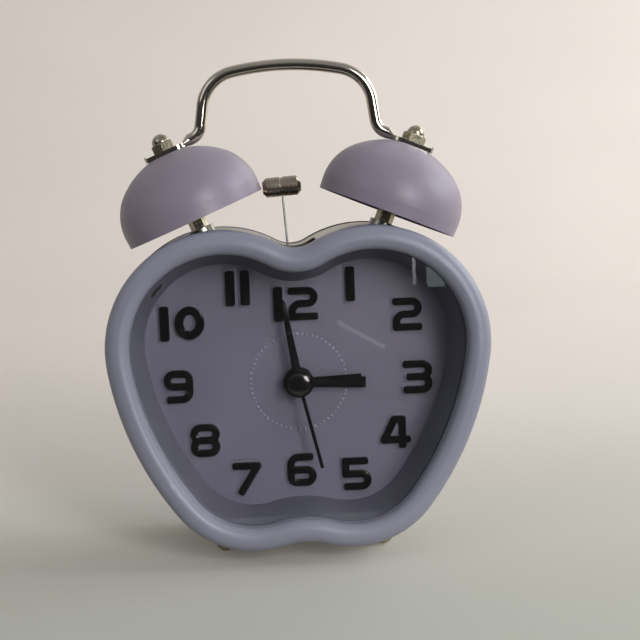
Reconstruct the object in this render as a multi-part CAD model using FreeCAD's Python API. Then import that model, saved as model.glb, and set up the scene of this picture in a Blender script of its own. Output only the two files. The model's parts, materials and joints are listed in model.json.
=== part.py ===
import FreeCAD, Part
import math
import os

# Twin bell alarm clock with an apple shaped case, in millimetres.
# The clock is drawn upright: X to the right as the dial is read, Y from front to back with
# 0 at the bezel's widest plane, and Z up from the centre of the dial. At the end the whole
# clock leans back on its two feet and the lower back edge of its case, and is set down
# with the middle of its footprint at the origin and its lowest point on Z = 0.

V = FreeCAD.Vector

# Case outline in front view: tangent circles, right half, mirrored to the left
shoulder_x = 24.5
shoulder_z = 14.0
shoulder_radius = 38.5
lobe_x = 16.0
lobe_z = -20.9
lobe_radius = 32.3
flank_radius = 105.0
top_notch_radius = 10.2
bottom_notch_radius = 25.0

# Bezel, crystal and dial well, from the front to the back
bezel_width = 7.8
bezel_bulge = 6.0
bezel_outer_round = 4.4
bezel_inner_round = 3.2
bezel_back = 3.6
lip_depth = 0.8
spigot_length = 6.0
spigot_wall = 1.2
fit_gap = 0.1
crystal_thickness = 1.4
crystal_inset = 5.6
flange_thickness = 1.6
flange_screw_inset = 4.0
flange_screw_radius = 0.95
flange_screw_head_radius = 1.6
flange_screw_grip = 4.0
well_depth = 14.6
well_taper = 3.8
well_wall = 1.5
lens_gap = 0.2
dial_thickness = 1.6
dial_margin = 1.3

# Numbers on the dial: size of a digit, and the centres of the numbers
numeral_height = 11.2
numeral_width = 9.9
numeral_stroke = 2.5
one_stroke = 3.1
zero_stroke = 2.9
numeral_corner_round = 0.85
numeral_bevel = 0.35
numeral_waist_round = 0.5
numeral_thickness = 1.2
numeral_pad_margin = 0.75
numeral_pad_height = 0.3
digit_space = 1.9
twelve_z = 26.4
one_x = 18.5
one_z = 32.4
two_x = 37.5
two_z = 21.4
three_x = 40.4
four_x = 32.2
four_z = -18.6
five_x = 18.6
five_z = -32.3
six_z = -30.1
wide_number_shift = 0.8

# Sheet metal case band and moulded back cover
band_inset = 0.35
band_thickness = 0.7
band_length = 41.4
cover_thickness = 2.0
cover_edge_round = 1.2
cover_spigot = 4.0
pillar_radius = 2.9
pillar_inset = 5.6
cover_screw_radius = 1.4
cover_screw_head_radius = 2.5
cover_screw_length = 14.0

# Bells, posts, nuts and carrying handle
bell_tilt = 22.5
bell_x = 32.2
bell_y = 22.0
bell_rim_z = 55.85
bell_radius = 24.4
bell_rim_draw = 0.2
bell_skirt = 4.3
bell_crown = 20.0
bell_seat_radius = 6.0
bell_shoulder_round = 17.5
bell_sheet = 0.9
stud_radius = 2.0
post_across_flats = 5.5
post_seat_radius = 4.4
post_seat_rise = 1.1
post_seat_length = 3.2
washer_radius = 4.2
washer_thickness = 0.6
nut_across_flats = 7.0
nut_height = 3.0
acorn_hex_height = 2.9
acorn_dome_radius = 3.0
acorn_bevel = 0.5
acorn_left_twist = 28.0
acorn_right_twist = 2.0
acorn_bore = 4.0
plate_thickness = 1.5
plate_width = 7.6
plate_end = 7.4
plate_inner_end = 7.6
plate_corner_round = 1.8
plate_lip_width = 0.9
plate_lip_rise = 0.5
handle_taper_start = 6.0
handle_taper_end = 9.0
handle_taper_lift = 0.75
handle_wire = 4.0
handle_top_z = 106.5
handle_top_arc = 90.0
handle_corner = 13.0
handle_leg_x = 29.5
handle_leg_drop = 19.5
handle_leg_z = handle_top_z - handle_leg_drop
handle_leg_lean = 8.0
handle_bend = 5.0

# Hammer and its motor
pivot_z = 19.0
head_height = 46.9
head_radius = 3.3
head_length = 12.9
head_chamfer = 1.3
head_groove = 1.1
head_gap = 0.35
wire_radius = 0.35
lever_length = 20.5
lever_thickness = 1.6
yoke_height = 14.0
pivot_pin_radius = 1.0
slot_width = 15.0
slot_front = 8.0
slot_back = 27.0
motor_can_radius = 6.0
motor_flat = 5.0
motor_length = 15.0
motor_shaft_radius = 0.5
eccentric_throw = 0.9
eccentric_radius = 1.6

# Movement housing and its layers
movement_half_width = 27.0
movement_top = 16.0
movement_bottom = -21.6
movement_depth = 18.0
movement_split = 9.6
movement_wall = 1.2
plate_gap = 0.4
wheel_thickness = 0.8
pinion_thickness = 1.2
arbor_radius = 0.5
key_arbor_radius = 0.65
running_gap = 0.05
pipe_wall = 0.55
lug_boss_height = 4.0
lug_boss_radius = 2.4
lug_thickness = 1.2
lug_radius = 3.0
lug_reach = 3.4
lug_high_z = 9.0
lug_low_z = -14.0
deck_half_width = 13.0
deck_low_z = 15.0
deck_shoulder_z = 33.0
deck_top_z = 40.0
deck_top_half_width = 8.0
bracket_inset = 0.5
bracket_low_z = 17.6
bracket_post_x = 10.5
bracket_post_low_z = 20.5
bracket_post_high_z = 30.0
bracket_post_radius = 2.0
bridge_left_x = -20.5
bridge_right_x = 24.5
bridge_low_z = -19.5
bridge_high_z = 14.2
bridge_step_x = -7.5
bridge_step_z = 2.0
bridge_cut_z = -3.0
bridge_thickness = 1.0
bridge_post_radius = 1.6
movement_screw_radius = 0.95
screw_hole_gap = 0.15
board_thickness = 1.0
rotor_magnet_radius = 2.8
rotor_arbor_radius = 0.4
coil_x = -22.4
coil_low = -2.0
coil_high = 8.6

# Gear train: teeth, and the distance and direction of each axis from the centre
rotor_teeth = 6
intermediate_teeth = 36
intermediate_pinion_teeth = 8
second_teeth = 40
second_pinion_teeth = 6
third_teeth = 45
third_pinion_teeth = 6
centre_teeth = 48
cannon_teeth = 8
minute_teeth = 24
minute_pinion_teeth = 8
hour_teeth = 32
alarm_pinion_teeth = 8
alarm_teeth = 32
third_distance = 12.24
third_direction = 15.0
intermediate_distance = 12.6
intermediate_direction = 225.0
rotor_distance = 7.56
rotor_direction = 180.0
minute_distance = 12.4
minute_direction = -55.0
alarm_distance = 12.5
alarm_direction = 150.0
addendum = 0.75
dedendum = 1.15
tooth_share = 0.40
tip_share = 0.20

# Hands, with their directions on the dial in degrees clockwise from twelve
hand_thickness = 0.5
hand_gap = 1.1
hour_hand_angle = 89.2
minute_hand_angle = 350.8
second_hand_angle = 166.8
alarm_hand_angle = 92.0
hour_hand_length = 21.0
minute_hand_length = 28.5
second_hand_length = 29.5
alarm_hand_length = 22.6
hour_hand_root = 3.3
hour_hand_end = 4.1
minute_hand_root = 3.2
minute_hand_end = 1.5
alarm_hand_root = 3.2
alarm_hand_end = 3.7
second_hand_width = 1.2
second_tail_length = 6.7
hour_hub_radius = 5.0
minute_hub_radius = 4.4
alarm_hub_radius = 5.2
second_hub_radius = 4.1
second_hub_height = 1.7
rib_width = 0.7
rib_height = 0.25

# Controls on the back and the battery
knob_radius = 5.6
knob_height = 5.0
knob_ribs = 12
battery_radius = 7.25
battery_length = 49.2
battery_z = -31.2
battery_cap_radius = 2.6
battery_cap_length = 1.3
bay_wall = 1.3
bay_clearance = 0.5
contact_space = 4.6
door_gap = 0.35
door_thickness = 1.5
door_pin_radius = 0.45
door_pin_reach = 1.2
door_open_room = 0.6
switch_x = -31.0
switch_z = 24.0
switch_travel = 4.0
button_x = 31.0
button_z = 24.0
button_radius = 4.2
button_travel = 1.2
button_rise = 2.4
button_flange_depth = 1.4

# Feet and night light
foot_angle = 18.5
foot_y = 15.0
foot_length = 5.4
foot_radius = 3.3
foot_stud_radius = 1.5
foot_flat = 0.15
lamp_angle = 138.4
lamp_radius = 1.5
lamp_window_length = 5.8
lamp_window_width = 4.6


# Case outline

def polar(centre, radius, degrees):
    """Point of the front view at a distance and a direction from a centre."""
    turn = math.radians(degrees)
    return (centre[0] + radius * math.cos(turn), centre[1] + radius * math.sin(turn))


def towards(start, end, distance):
    """Point at a distance from start on the line to end."""
    length = math.hypot(end[0] - start[0], end[1] - start[1])
    share = distance / length
    return (start[0] + (end[0] - start[0]) * share, start[1] + (end[1] - start[1]) * share)


def flank_centre():
    """Centre of the flank circle, which the shoulder and the lobe touch from inside."""
    from_shoulder = flank_radius - shoulder_radius
    from_lobe = flank_radius - lobe_radius
    dx = lobe_x - shoulder_x
    dz = lobe_z - shoulder_z
    apart = math.hypot(dx, dz)
    along = (from_shoulder ** 2 - from_lobe ** 2 + apart ** 2) / (2 * apart)
    aside = math.sqrt(from_shoulder ** 2 - along ** 2)
    return (
        shoulder_x + (dx * along + dz * aside) / apart,
        shoulder_z + (dz * along - dx * aside) / apart,
    )


SHOULDER = (shoulder_x, shoulder_z)
LOBE = (lobe_x, lobe_z)
FLANK = flank_centre()
TOP_NOTCH = (0, shoulder_z + math.sqrt((shoulder_radius + top_notch_radius) ** 2 - shoulder_x ** 2))
BOTTOM_NOTCH = (0, lobe_z - math.sqrt((lobe_radius + bottom_notch_radius) ** 2 - lobe_x ** 2))


def arc_between(start, end, centre, y):
    """Arc about a centre, the short way round from start to end, at depth y."""
    a = math.degrees(math.atan2(start[1] - centre[1], start[0] - centre[0]))
    b = math.degrees(math.atan2(end[1] - centre[1], end[0] - centre[0]))
    b = a + (b - a + 180) % 360 - 180
    radius = math.hypot(start[0] - centre[0], start[1] - centre[1])
    middle = polar(centre, radius, (a + b) / 2)
    points = [V(p[0], y, p[1]) for p in (start, middle, end)]
    return Part.Arc(*points).toShape()


def outline(inset, y):
    """Closed apple outline drawn in from the bezel's outline by inset, at depth y."""
    joints = [
        towards(SHOULDER, TOP_NOTCH, shoulder_radius - inset),
        towards(FLANK, SHOULDER, flank_radius - inset),
        towards(FLANK, LOBE, flank_radius - inset),
        towards(LOBE, BOTTOM_NOTCH, lobe_radius - inset),
    ]
    mirrored = [(-x, z) for x, z in joints]
    left = [(-x, z) for x, z in (SHOULDER, FLANK, LOBE)]
    edges = [
        arc_between(mirrored[0], joints[0], TOP_NOTCH, y),
        arc_between(joints[0], joints[1], SHOULDER, y),
        arc_between(joints[1], joints[2], FLANK, y),
        arc_between(joints[2], joints[3], LOBE, y),
        arc_between(joints[3], mirrored[3], BOTTOM_NOTCH, y),
        arc_between(mirrored[3], mirrored[2], left[2], y),
        arc_between(mirrored[2], mirrored[1], left[1], y),
        arc_between(mirrored[1], mirrored[0], left[0], y),
    ]
    return Part.Wire(edges)


# Simple solids

def slab(inset, front, back):
    """Apple shaped plate between two depths."""
    return Part.Face(outline(inset, front)).extrude(V(0, back - front, 0))


def ring(outer_inset, inner_inset, front, back):
    """Apple shaped hoop between two depths."""
    return slab(outer_inset, front, back).cut(slab(inner_inset, front - 1, back + 1))


def disc(centre, radius, front, back):
    """Round bar along Y between two depths."""
    return Part.makeCylinder(radius, back - front, V(centre[0], front, centre[1]), V(0, 1, 0))


def block(x0, x1, y0, y1, z0, z1):
    """Square-edged block between two corners."""
    return Part.makeBox(x1 - x0, y1 - y0, z1 - z0, V(x0, y0, z0))


def hexagon(across_flats, base, direction, height, twist=0.0):
    """Hexagonal bar that rises from base along direction."""
    radius = across_flats / math.sqrt(3)
    corners = []
    for i in range(7):
        turn = math.radians(60 * i + twist)
        corners.append(V(radius * math.cos(turn), radius * math.sin(turn), 0))
    bar = Part.Face(Part.makePolygon(corners)).extrude(V(0, 0, height))
    bar.Placement = FreeCAD.Placement(base, FreeCAD.Rotation(V(0, 0, 1), direction))
    return bar


def plate_from(corners, front, back):
    """Flat plate with straight sides through corners of the front view."""
    points = [V(x, front, z) for x, z in corners]
    return Part.Face(Part.makePolygon(points + points[:1])).extrude(V(0, back - front, 0))


def turned(profile, base, direction):
    """Body of revolution: profile is a list of (radius, height) from the axis to the axis."""
    points = [V(radius, 0, height) for radius, height in profile]
    face = Part.Face(Part.makePolygon(points + points[:1]))
    body = face.revolve(V(0, 0, 0), V(0, 0, 1), 360)
    body = body if body.ShapeType == "Solid" else Part.Solid(body)
    body.Placement = FreeCAD.Placement(base, FreeCAD.Rotation(V(0, 0, 1), direction))
    return body


def soften(shape, radius, wanted):
    """Round the edges that the test wanted accepts."""
    edges = [edge for edge in shape.Edges if wanted(edge.BoundBox)]
    return shape.makeFillet(radius, edges)


# Depths that follow from the driving dimensions

crystal_front = lip_depth
crystal_back = crystal_front + crystal_thickness
flange_back = crystal_back + flange_thickness
dial_front = crystal_back + well_depth
dial_back = dial_front + dial_thickness
band_back = bezel_back + band_length
cover_back = band_back + cover_thickness
spigot_inset = band_inset + band_thickness + fit_gap
flange_inset = spigot_inset + spigot_wall + fit_gap
well_inset = bezel_width + lens_gap
dial_inset = well_inset + well_taper - dial_margin
well_outer = well_inset - well_wall

bell_height = bell_skirt + bell_crown
bell_flat = bell_crown - bell_shoulder_round
crown_radius = bell_crown + ((bell_radius - bell_shoulder_round) ** 2 - bell_flat ** 2) / (2 * bell_flat)
bell_seat = bell_height - crown_radius + math.sqrt(crown_radius ** 2 - bell_seat_radius ** 2)
plate_level = bell_seat + plate_thickness / 2
nut_level = bell_seat + plate_thickness
post_top = bell_seat - bell_sheet

movement_front = dial_back
movement_back = movement_front + movement_depth
split_y = movement_front + movement_split
screw_hole_radius = movement_screw_radius + screw_hole_gap


# Bezel, crystal, well and dial

def front_bezel():
    """Rounded moulding with a stepped rebate for the crystal and the surround, and a spigot."""
    body = slab(0, -bezel_bulge, bezel_back).cut(slab(bezel_width, -bezel_bulge - 1, bezel_back + 1))
    front_face = [f for f in body.Faces if f.BoundBox.YMax < -bezel_bulge + 0.01][0]
    outer = [e for e in body.Edges if any(e.isSame(o) for o in front_face.OuterWire.Edges)]
    body = body.makeFillet(bezel_outer_round, outer)
    inner = [e for e in body.Edges if e.BoundBox.YMax < -bezel_bulge + 0.01]
    lip_wire = outline(bezel_width, -bezel_bulge)
    reach = lip_wire.BoundBox.XMax + 0.01
    inner = [e for e in inner if abs(e.BoundBox.XMax) <= reach and e.distToShape(lip_wire)[0] < 0.01]
    body = body.makeFillet(bezel_inner_round, inner)
    body = body.fuse(slab(spigot_inset, bezel_back, bezel_back + spigot_length))
    body = body.cut(slab(crystal_inset - fit_gap, lip_depth, crystal_back))
    body = body.cut(slab(spigot_inset + spigot_wall, crystal_back, bezel_back + spigot_length + 1))
    for centre in flange_screw_centres():
        pilot_front = crystal_back - flange_screw_grip - 0.5
        pilot = disc(centre, flange_screw_radius + running_gap, pilot_front, flange_back)
        body = body.cut(pilot)
    return body.removeSplitter()


def flange_screw_centres():
    """Six screws that clamp the surround and the crystal to the bezel."""
    reach = shoulder_radius - flange_screw_inset
    right = [polar(SHOULDER, reach, 80), polar(SHOULDER, reach, 5),
             polar(LOBE, lobe_radius - flange_screw_inset, -60)]
    return right + [(-x, z) for x, z in right]


def flange_screws():
    """Round-head screws behind the surround's flange."""
    screws = []
    for centre in flange_screw_centres():
        head = disc(centre, flange_screw_head_radius, flange_back, flange_back + 1.1)
        shank = disc(centre, flange_screw_radius, crystal_back - flange_screw_grip, flange_back)
        screws.append(cross_cut(head.fuse(shank), centre, flange_back + 1.1, 0.6))
    return screws


def crystal_lens():
    """Clear flat pane that drops into the rebate from behind."""
    return slab(crystal_inset, crystal_front, crystal_back)


def pillar_centres():
    """Four screw pillars between the well and the band, two in the shoulders, two below."""
    upper = polar(SHOULDER, shoulder_radius - pillar_inset, 58)
    lower = polar(LOBE, lobe_radius - pillar_inset, -38)
    return [upper, lower, (-upper[0], upper[1]), (-lower[0], lower[1])]


def lamp_place():
    """Centre of the night light and its direction towards the dial's centre, on the left shoulder."""
    centre = (-shoulder_x, shoulder_z)
    return polar(centre, shoulder_radius - well_inset - well_taper / 2, lamp_angle)


def lamp_direction():
    return V(-math.cos(math.radians(lamp_angle)), 0.25, -math.sin(math.radians(lamp_angle))).normalize()


def lamp_window():
    """Oblong that cuts the night light's window, its long side along the wall."""
    place = lamp_place()
    middle = (crystal_back + dial_front) / 2
    length, width = lamp_window_length / 2, lamp_window_width / 2
    window = block(-length, length, -width, width, -4, 4)
    along_wall = V(-math.sin(math.radians(lamp_angle)), 0, math.cos(math.radians(lamp_angle)))
    turn = FreeCAD.Rotation(along_wall, V(0, 1, 0), lamp_direction(), "ZXY")
    window.Placement = FreeCAD.Placement(V(place[0], middle, place[1]), turn)
    return window


def dial_surround():
    """Tapered well wall behind the crystal, with its flange and the screw pillars."""
    wall = Part.makeLoft(
        [outline(well_outer, crystal_back), outline(well_outer + well_taper, dial_front)], True, True
    )
    body = slab(flange_inset, crystal_back, flange_back).fuse(wall)
    for centre in pillar_centres():
        body = body.fuse(disc(centre, pillar_radius, crystal_back, band_back - fit_gap))
    hollow = Part.makeLoft(
        [outline(well_inset, crystal_back), outline(well_inset + well_taper, dial_front)], True, True
    )
    body = body.cut(hollow)
    for centre in pillar_centres():
        bore = disc(centre, cover_screw_radius + running_gap, band_back - cover_screw_length - 1, band_back)
        body = body.cut(bore)
    for centre in flange_screw_centres():
        body = body.cut(disc(centre, flange_screw_radius + fit_gap, crystal_back - 1, flange_back + 1))
    return body.cut(lamp_window()).removeSplitter()


def lug_centres():
    """Four places where the movement is screwed to the back of the dial."""
    side = movement_half_width + lug_reach
    return [(x, z) for x in (side, -side) for z in (lug_high_z, lug_low_z)]


def dial_plate():
    """Flat dial with embossed pads under the digits, the centre hole and four screw bosses behind."""
    pad_front = dial_front - numeral_pad_height
    pads = [digit(glyph, centre, numeral_pad_margin, pad_front, dial_front + numeral_pad_height)
            for glyph, centre in digit_places()]
    body = slab(dial_inset, dial_front, dial_back).multiFuse(pads)
    for centre in lug_centres():
        body = body.fuse(disc(centre, lug_boss_radius, dial_back, dial_back + lug_boss_height))
        pilot_back = dial_back + lug_boss_height + 1
        pilot = disc(centre, movement_screw_radius + running_gap, dial_back + 0.4, pilot_back)
        body = body.cut(pilot)
    return body.cut(disc((0, 0), bushing_radius + fit_gap, dial_front - 1, dial_back + 1))


# Numerals: each glyph is a few strokes on its centreline

def glyph_strokes(glyph):
    """Centrelines of a digit's strokes; a step is a point, or an arc about a centre by its turn."""
    h = (numeral_height - numeral_stroke) / 2
    w = (numeral_width - numeral_stroke) / 2
    r = h / 2
    b = w - r
    s = 0.6 * h
    short = 0.25 * w
    bar = -0.6 * h
    six = [(w - short, h), (s - w, h), ("arc", (s - w, h - s), 90), (-w, r - h),
           ("arc", (r - w, r - h), 90), (b, -h), ("arc", (b, -r), 180), (-w, 0)]
    return {
        "1": [[(0, -h), (0, h)]],
        "2": [[(-w, h), (b, h), ("arc", (b, r), -180), (s - w, 0), ("arc", (s - w, -s), 90),
               (-w, -h), (w, -h)]],
        "3": [[(-w, h), (b, h), ("arc", (b, r), -180), (1.2 * short - w, 0)],
              [(b, 0), ("arc", (b, -r), -180), (-w, -h)]],
        "4": [[(0.65 * w, -h), (0.65 * w, h), (-0.06 * w, h), (-1.05 * w, bar), (1.07 * w, bar)]],
        "5": [[(w - short, h), (-w, h), (-w, 0), (b, 0), ("arc", (b, -r), -180), (short / 2 - w, -h)]],
        "6": [six],
        "7": [[(-w, h), (w, h), (-0.5 * w, -h)]],
        "8": [[(-b, h), (b, h), ("arc", (b, r), -180), (-b, 0), ("arc", (-b, r), -180)],
              [(-b, 0), ("arc", (-b, -r), 180), (b, -h), ("arc", (b, -r), 180)]],
        "9": [[(step[0], (-step[1][0], -step[1][1]), step[2]) if step[0] == "arc" else (-step[0], -step[1])
               for step in six]],
    }[glyph]


def stroke_path(steps, origin):
    """A stroke's steps as (start, end, centre, turn) in the front view; a bar has no centre."""
    path = []
    here = (origin[0] + steps[0][0], origin[1] + steps[0][1])
    for step in steps[1:]:
        if step[0] == "arc":
            centre = (origin[0] + step[1][0], origin[1] + step[1][1])
            radius = math.hypot(here[0] - centre[0], here[1] - centre[1])
            first = math.degrees(math.atan2(here[1] - centre[1], here[0] - centre[0]))
            there = polar(centre, radius, first + step[2])
            path.append((here, there, centre, step[2]))
        else:
            there = (origin[0] + step[0], origin[1] + step[1])
            path.append((here, there, None, 0))
        here = there
    return path


def bent_bar(start, centre, turn, half, y):
    """Face of part of a flat ring of half the given width, from a start point through a turn."""
    radius = math.hypot(start[0] - centre[0], start[1] - centre[1])
    first = math.degrees(math.atan2(start[1] - centre[1], start[0] - centre[0])) + min(turn, 0)
    rows = []
    for r in (radius - half, radius + half):
        points = [polar(centre, r, first + abs(turn) * k) for k in (0, 0.5, 1)]
        rows.append([V(point[0], y, point[1]) for point in points])
    inner, outer = rows
    edges = [
        Part.Arc(*outer).toShape(),
        Part.LineSegment(outer[2], inner[2]).toShape(),
        Part.Arc(*inner[::-1]).toShape(),
        Part.LineSegment(inner[0], outer[0]).toShape(),
    ]
    return Part.Face(Part.Wire(edges))


def straight_bar(a, b, half, squared, y):
    """Face of a bar between two points, run on past its squared ends, with rounded corners there."""
    length = math.hypot(b[0] - a[0], b[1] - a[1])
    low = -half if squared[0] else 0
    high = length + half if squared[1] else length
    corners = [(low, -half), (high, -half), (high, half), (low, half)]
    rounded = (squared[0], squared[1], squared[1], squared[0])
    edges = []
    last = None
    first = None
    for i, corner in enumerate(corners):
        c = numeral_corner_round if rounded[i] else 0
        enter = towards(corner, corners[i - 1], c)
        leave = towards(corner, corners[(i + 1) % 4], c)
        points = [V(p[0], y, p[1]) for p in (enter, leave)]
        if last is None:
            first = points[0]
        else:
            edges.append(Part.LineSegment(last, points[0]).toShape())
        if c:
            centre = (enter[0] + leave[0] - corner[0], enter[1] + leave[1] - corner[1])
            middle = towards(centre, corner, c)
            edges.append(Part.Arc(points[0], V(middle[0], y, middle[1]), points[1]).toShape())
        last = points[1]
    edges.append(Part.LineSegment(last, first).toShape())
    face = Part.Face(Part.Wire(edges))
    turn = math.degrees(math.atan2(b[1] - a[1], b[0] - a[0]))
    face.Placement = FreeCAD.Placement(V(a[0], 0, a[1]), FreeCAD.Rotation(V(0, 1, 0), -turn))
    return face


def right_corner(bar, other):
    """True where a bar ends freely or meets another bar at a right angle."""
    if other is None:
        return True
    if other[2] is not None:
        return False
    first = (bar[1][0] - bar[0][0], bar[1][1] - bar[0][1])
    second = (other[1][0] - other[0][0], other[1][1] - other[0][1])
    return abs(first[0] * second[0] + first[1] * second[1]) < 0.01


def round_face(centre, radius, y):
    """Face of a disc."""
    return Part.Face(Part.Wire(Part.makeCircle(radius, V(centre[0], y, centre[1]), V(0, -1, 0))))


def stroke_faces(steps, origin, half, y):
    """Faces of one stroke, one for each step and one for each slanting corner."""
    path = stroke_path(steps, origin)
    closed = math.hypot(path[-1][1][0] - path[0][0][0], path[-1][1][1] - path[0][0][1]) < 0.01
    faces = []
    for i, step in enumerate(path):
        start, end, centre, turn = step
        before = path[i - 1] if i > 0 or closed else None
        after = path[i + 1] if i + 1 < len(path) else None
        if centre is not None:
            faces.append(bent_bar(start, centre, turn, half, y))
            continue
        squared = (right_corner(step, before), right_corner(step, after))
        faces.append(straight_bar(start, end, half, squared, y))
        if after is not None and after[2] is None and not squared[1]:
            faces.append(round_face(end, half, y))
    return faces


def oval_ring(origin, half, y):
    """Face of an oval ring as high and as wide as a digit, with sides of half the given width."""
    outer_height = numeral_height / 2 + half - zero_stroke / 2
    outer_width = numeral_width / 2 + half - zero_stroke / 2
    centre = V(origin[0], y, origin[1])
    faces = []
    for cut in (0, 2 * half):
        top = centre + V(0, 0, outer_height - cut)
        oval = Part.Ellipse(top, centre + V(outer_width - cut, 0, 0), centre)
        faces.append(Part.Face(Part.Wire(oval.toShape())))
    return faces[0].cut(faces[1])


def digit(glyph, centre, margin, front, back):
    """One digit with its strokes widened by a margin, between two depths."""
    if glyph == "0":
        face = oval_ring(centre, zero_stroke / 2 + margin, front)
    else:
        stroke = one_stroke if glyph == "1" else numeral_stroke
        faces = []
        for steps in glyph_strokes(glyph):
            faces += stroke_faces(steps, centre, stroke / 2 + margin, front)
        face = faces[0].multiFuse(faces[1:]).removeSplitter() if len(faces) > 1 else faces[0]
    solid = face.extrude(V(0, back - front, 0))
    return solid.Solids[0] if len(solid.Solids) == 1 else solid


def numeral_places():
    """Centre of each of the twelve numbers."""
    places = {12: (0, twelve_z), 1: (one_x, one_z), 2: (two_x, two_z), 3: (three_x, 0),
              4: (four_x, four_z), 5: (five_x, five_z), 6: (0, six_z)}
    for hour in (1, 2, 3, 4, 5):
        x, z = places[hour]
        shift = wide_number_shift if hour < 3 else 0
        places[12 - hour] = (-x - shift, z)
    return places


def digit_places():
    """Each digit of the twelve numbers with its centre."""
    digits = []
    for hour, place in sorted(numeral_places().items()):
        widths = [one_stroke if glyph == "1" else numeral_width for glyph in str(hour)]
        left = place[0] - (sum(widths) + digit_space * (len(widths) - 1)) / 2
        for glyph, width in zip(str(hour), widths):
            digits.append((glyph, (left + width / 2, place[1])))
            left += width + digit_space
    return digits


def hour_numerals():
    """The numbers 1 to 12 as raised digits with bevelled front edges."""
    back = dial_front - numeral_pad_height
    front = back - numeral_thickness
    digits = []
    for glyph, centre in digit_places():
        solid = digit(glyph, centre, 0, front, back)
        if glyph == "8":
            solid = soften(solid, numeral_waist_round, lambda box: (
                box.YLength > numeral_thickness - 0.01 and abs(box.ZMax - centre[1]) < 0.01))
        front_edges = [edge for edge in solid.Edges if edge.BoundBox.YMax < front + 0.01]
        digits.append(solid.makeChamfer(numeral_bevel, front_edges))
    return digits


# Case band and back cover

def bell_frame(side):
    """Rim centre and axis of a bell; side is 1 on the right and -1 on the left."""
    lean = math.radians(bell_tilt) * side
    return V(bell_x * side, bell_y, bell_rim_z), V(math.sin(lean), 0, math.cos(lean))


def along(side, distance):
    """Point on a bell's axis at a distance above the rim's plane."""
    rim, axis = bell_frame(side)
    return rim + axis * distance


def seat_level():
    """Height on the bell axis where the band's outside meets it, below the rim and so negative."""
    rim, axis = bell_frame(1)
    to_rim = (rim.x - shoulder_x, rim.z - shoulder_z)
    slope = to_rim[0] * axis.x + to_rim[1] * axis.z
    reach = shoulder_radius - band_inset
    return -slope + math.sqrt(slope ** 2 - to_rim[0] ** 2 - to_rim[1] ** 2 + reach ** 2)


def foot_frame(side):
    """Seat of a foot on the band and its direction outwards."""
    direction = V(math.sin(math.radians(foot_angle)) * side, 0, -math.cos(math.radians(foot_angle)))
    reach = lobe_radius - band_inset
    return V(lobe_x * side + direction.x * reach, foot_y, lobe_z + direction.z * reach), direction


def case_band():
    """Plated sheet hoop with the hammer slot, two pressed seats for the posts and foot holes."""
    body = ring(band_inset, band_inset + band_thickness, bezel_back, band_back)
    notch_z = TOP_NOTCH[1] - top_notch_radius
    body = body.cut(block(-slot_width / 2, slot_width / 2, slot_front, slot_back, notch_z - 6, notch_z + 9))
    for side in (-1, 1):
        rim, axis = bell_frame(side)
        top = along(side, seat_level() + post_seat_rise)
        seat = Part.makeCylinder(post_seat_radius, post_seat_length, top, axis * -1)
        body = body.fuse(seat)
        body = body.cut(Part.makeCylinder(stud_radius + fit_gap, 12, top + axis * 4, axis * -1))
        base, out = foot_frame(side)
        body = body.cut(Part.makeCylinder(foot_stud_radius + fit_gap, 6, base - out * 3, out))
    return body.removeSplitter()


# Layout of the battery bay, in the lower part of the cover

bay_half_width = battery_length / 2 + contact_space
bay_half_height = battery_radius + bay_clearance
bay_floor = cover_back - door_thickness - door_open_room - 2 * battery_radius - bay_clearance
door_half_width = bay_half_width + bay_wall
door_top = battery_z + bay_half_height + bay_wall
door_bottom = battery_z - bay_half_height - bay_wall


def rear_cover():
    """Moulded back with a spigot, screw wells, the battery bay, and holes for the controls."""
    body = slab(0, band_back, cover_back)
    body = soften(body, cover_edge_round, lambda box: box.YMin > cover_back - 0.01)
    body = body.fuse(ring(spigot_inset, spigot_inset + spigot_wall, band_back - cover_spigot, band_back))
    bay_box = block(
        -bay_half_width - bay_wall, bay_half_width + bay_wall, bay_floor - bay_wall, band_back,
        battery_z - bay_half_height - bay_wall, battery_z + bay_half_height + bay_wall,
    )
    body = body.fuse(bay_box)
    body = body.cut(block(
        -bay_half_width, bay_half_width, bay_floor, cover_back + 1,
        battery_z - bay_half_height, battery_z + bay_half_height,
    ))
    body = body.cut(block(
        -door_half_width - door_gap, door_half_width + door_gap,
        cover_back - door_thickness - 1.5 * fit_gap, cover_back + 1,
        door_bottom - door_gap, door_top + door_gap,
    ))
    body = body.cut(door_pins(door_pin_radius + running_gap, door_gap))
    for centre in pillar_centres():
        well = disc(centre, cover_screw_head_radius + 2 * fit_gap, cover_back - 1.2, cover_back + 1)
        body = body.cut(well)
        body = body.cut(disc(centre, cover_screw_radius + fit_gap, band_back - 1, cover_back))
    for centre in (MINUTE_AXIS, ALARM_AXIS):
        body = body.cut(disc(centre, key_hub_radius + 0.4, band_back - 1, cover_back + 1))
    body = body.cut(block(
        switch_x - 1.7, switch_x + 1.7, band_back - 1, cover_back + 1,
        switch_z - switch_travel / 2 - 2.2, switch_z + switch_travel / 2 + 2.2,
    ))
    return body.cut(disc((button_x, button_z), button_radius + 0.3, band_back - 1, cover_back + 1))


def cover_screws():
    """Four cross-head screws that clamp the cover to the pillars."""
    screws = []
    for centre in pillar_centres():
        head_front = cover_back - 1.2
        head = disc(centre, cover_screw_head_radius, head_front, cover_back - 0.1)
        shank = disc(centre, cover_screw_radius, band_back - cover_screw_length + 2, head_front)
        screws.append(cross_cut(head.fuse(shank), centre, cover_back - 0.1))
    return screws


def cross_cut(screw, centre, face, scale=1.0):
    """Cross recess in a screw head whose outer face is at depth face."""
    x, z = centre
    for half_x, half_z in ((1.5 * scale, 0.35 * scale), (0.35 * scale, 1.5 * scale)):
        recess = block(x - half_x, x + half_x, face - 0.7 * scale, face + 1, z - half_z, z + half_z)
        screw = screw.cut(recess)
    return screw


# Bells, posts, nuts and handle

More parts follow.
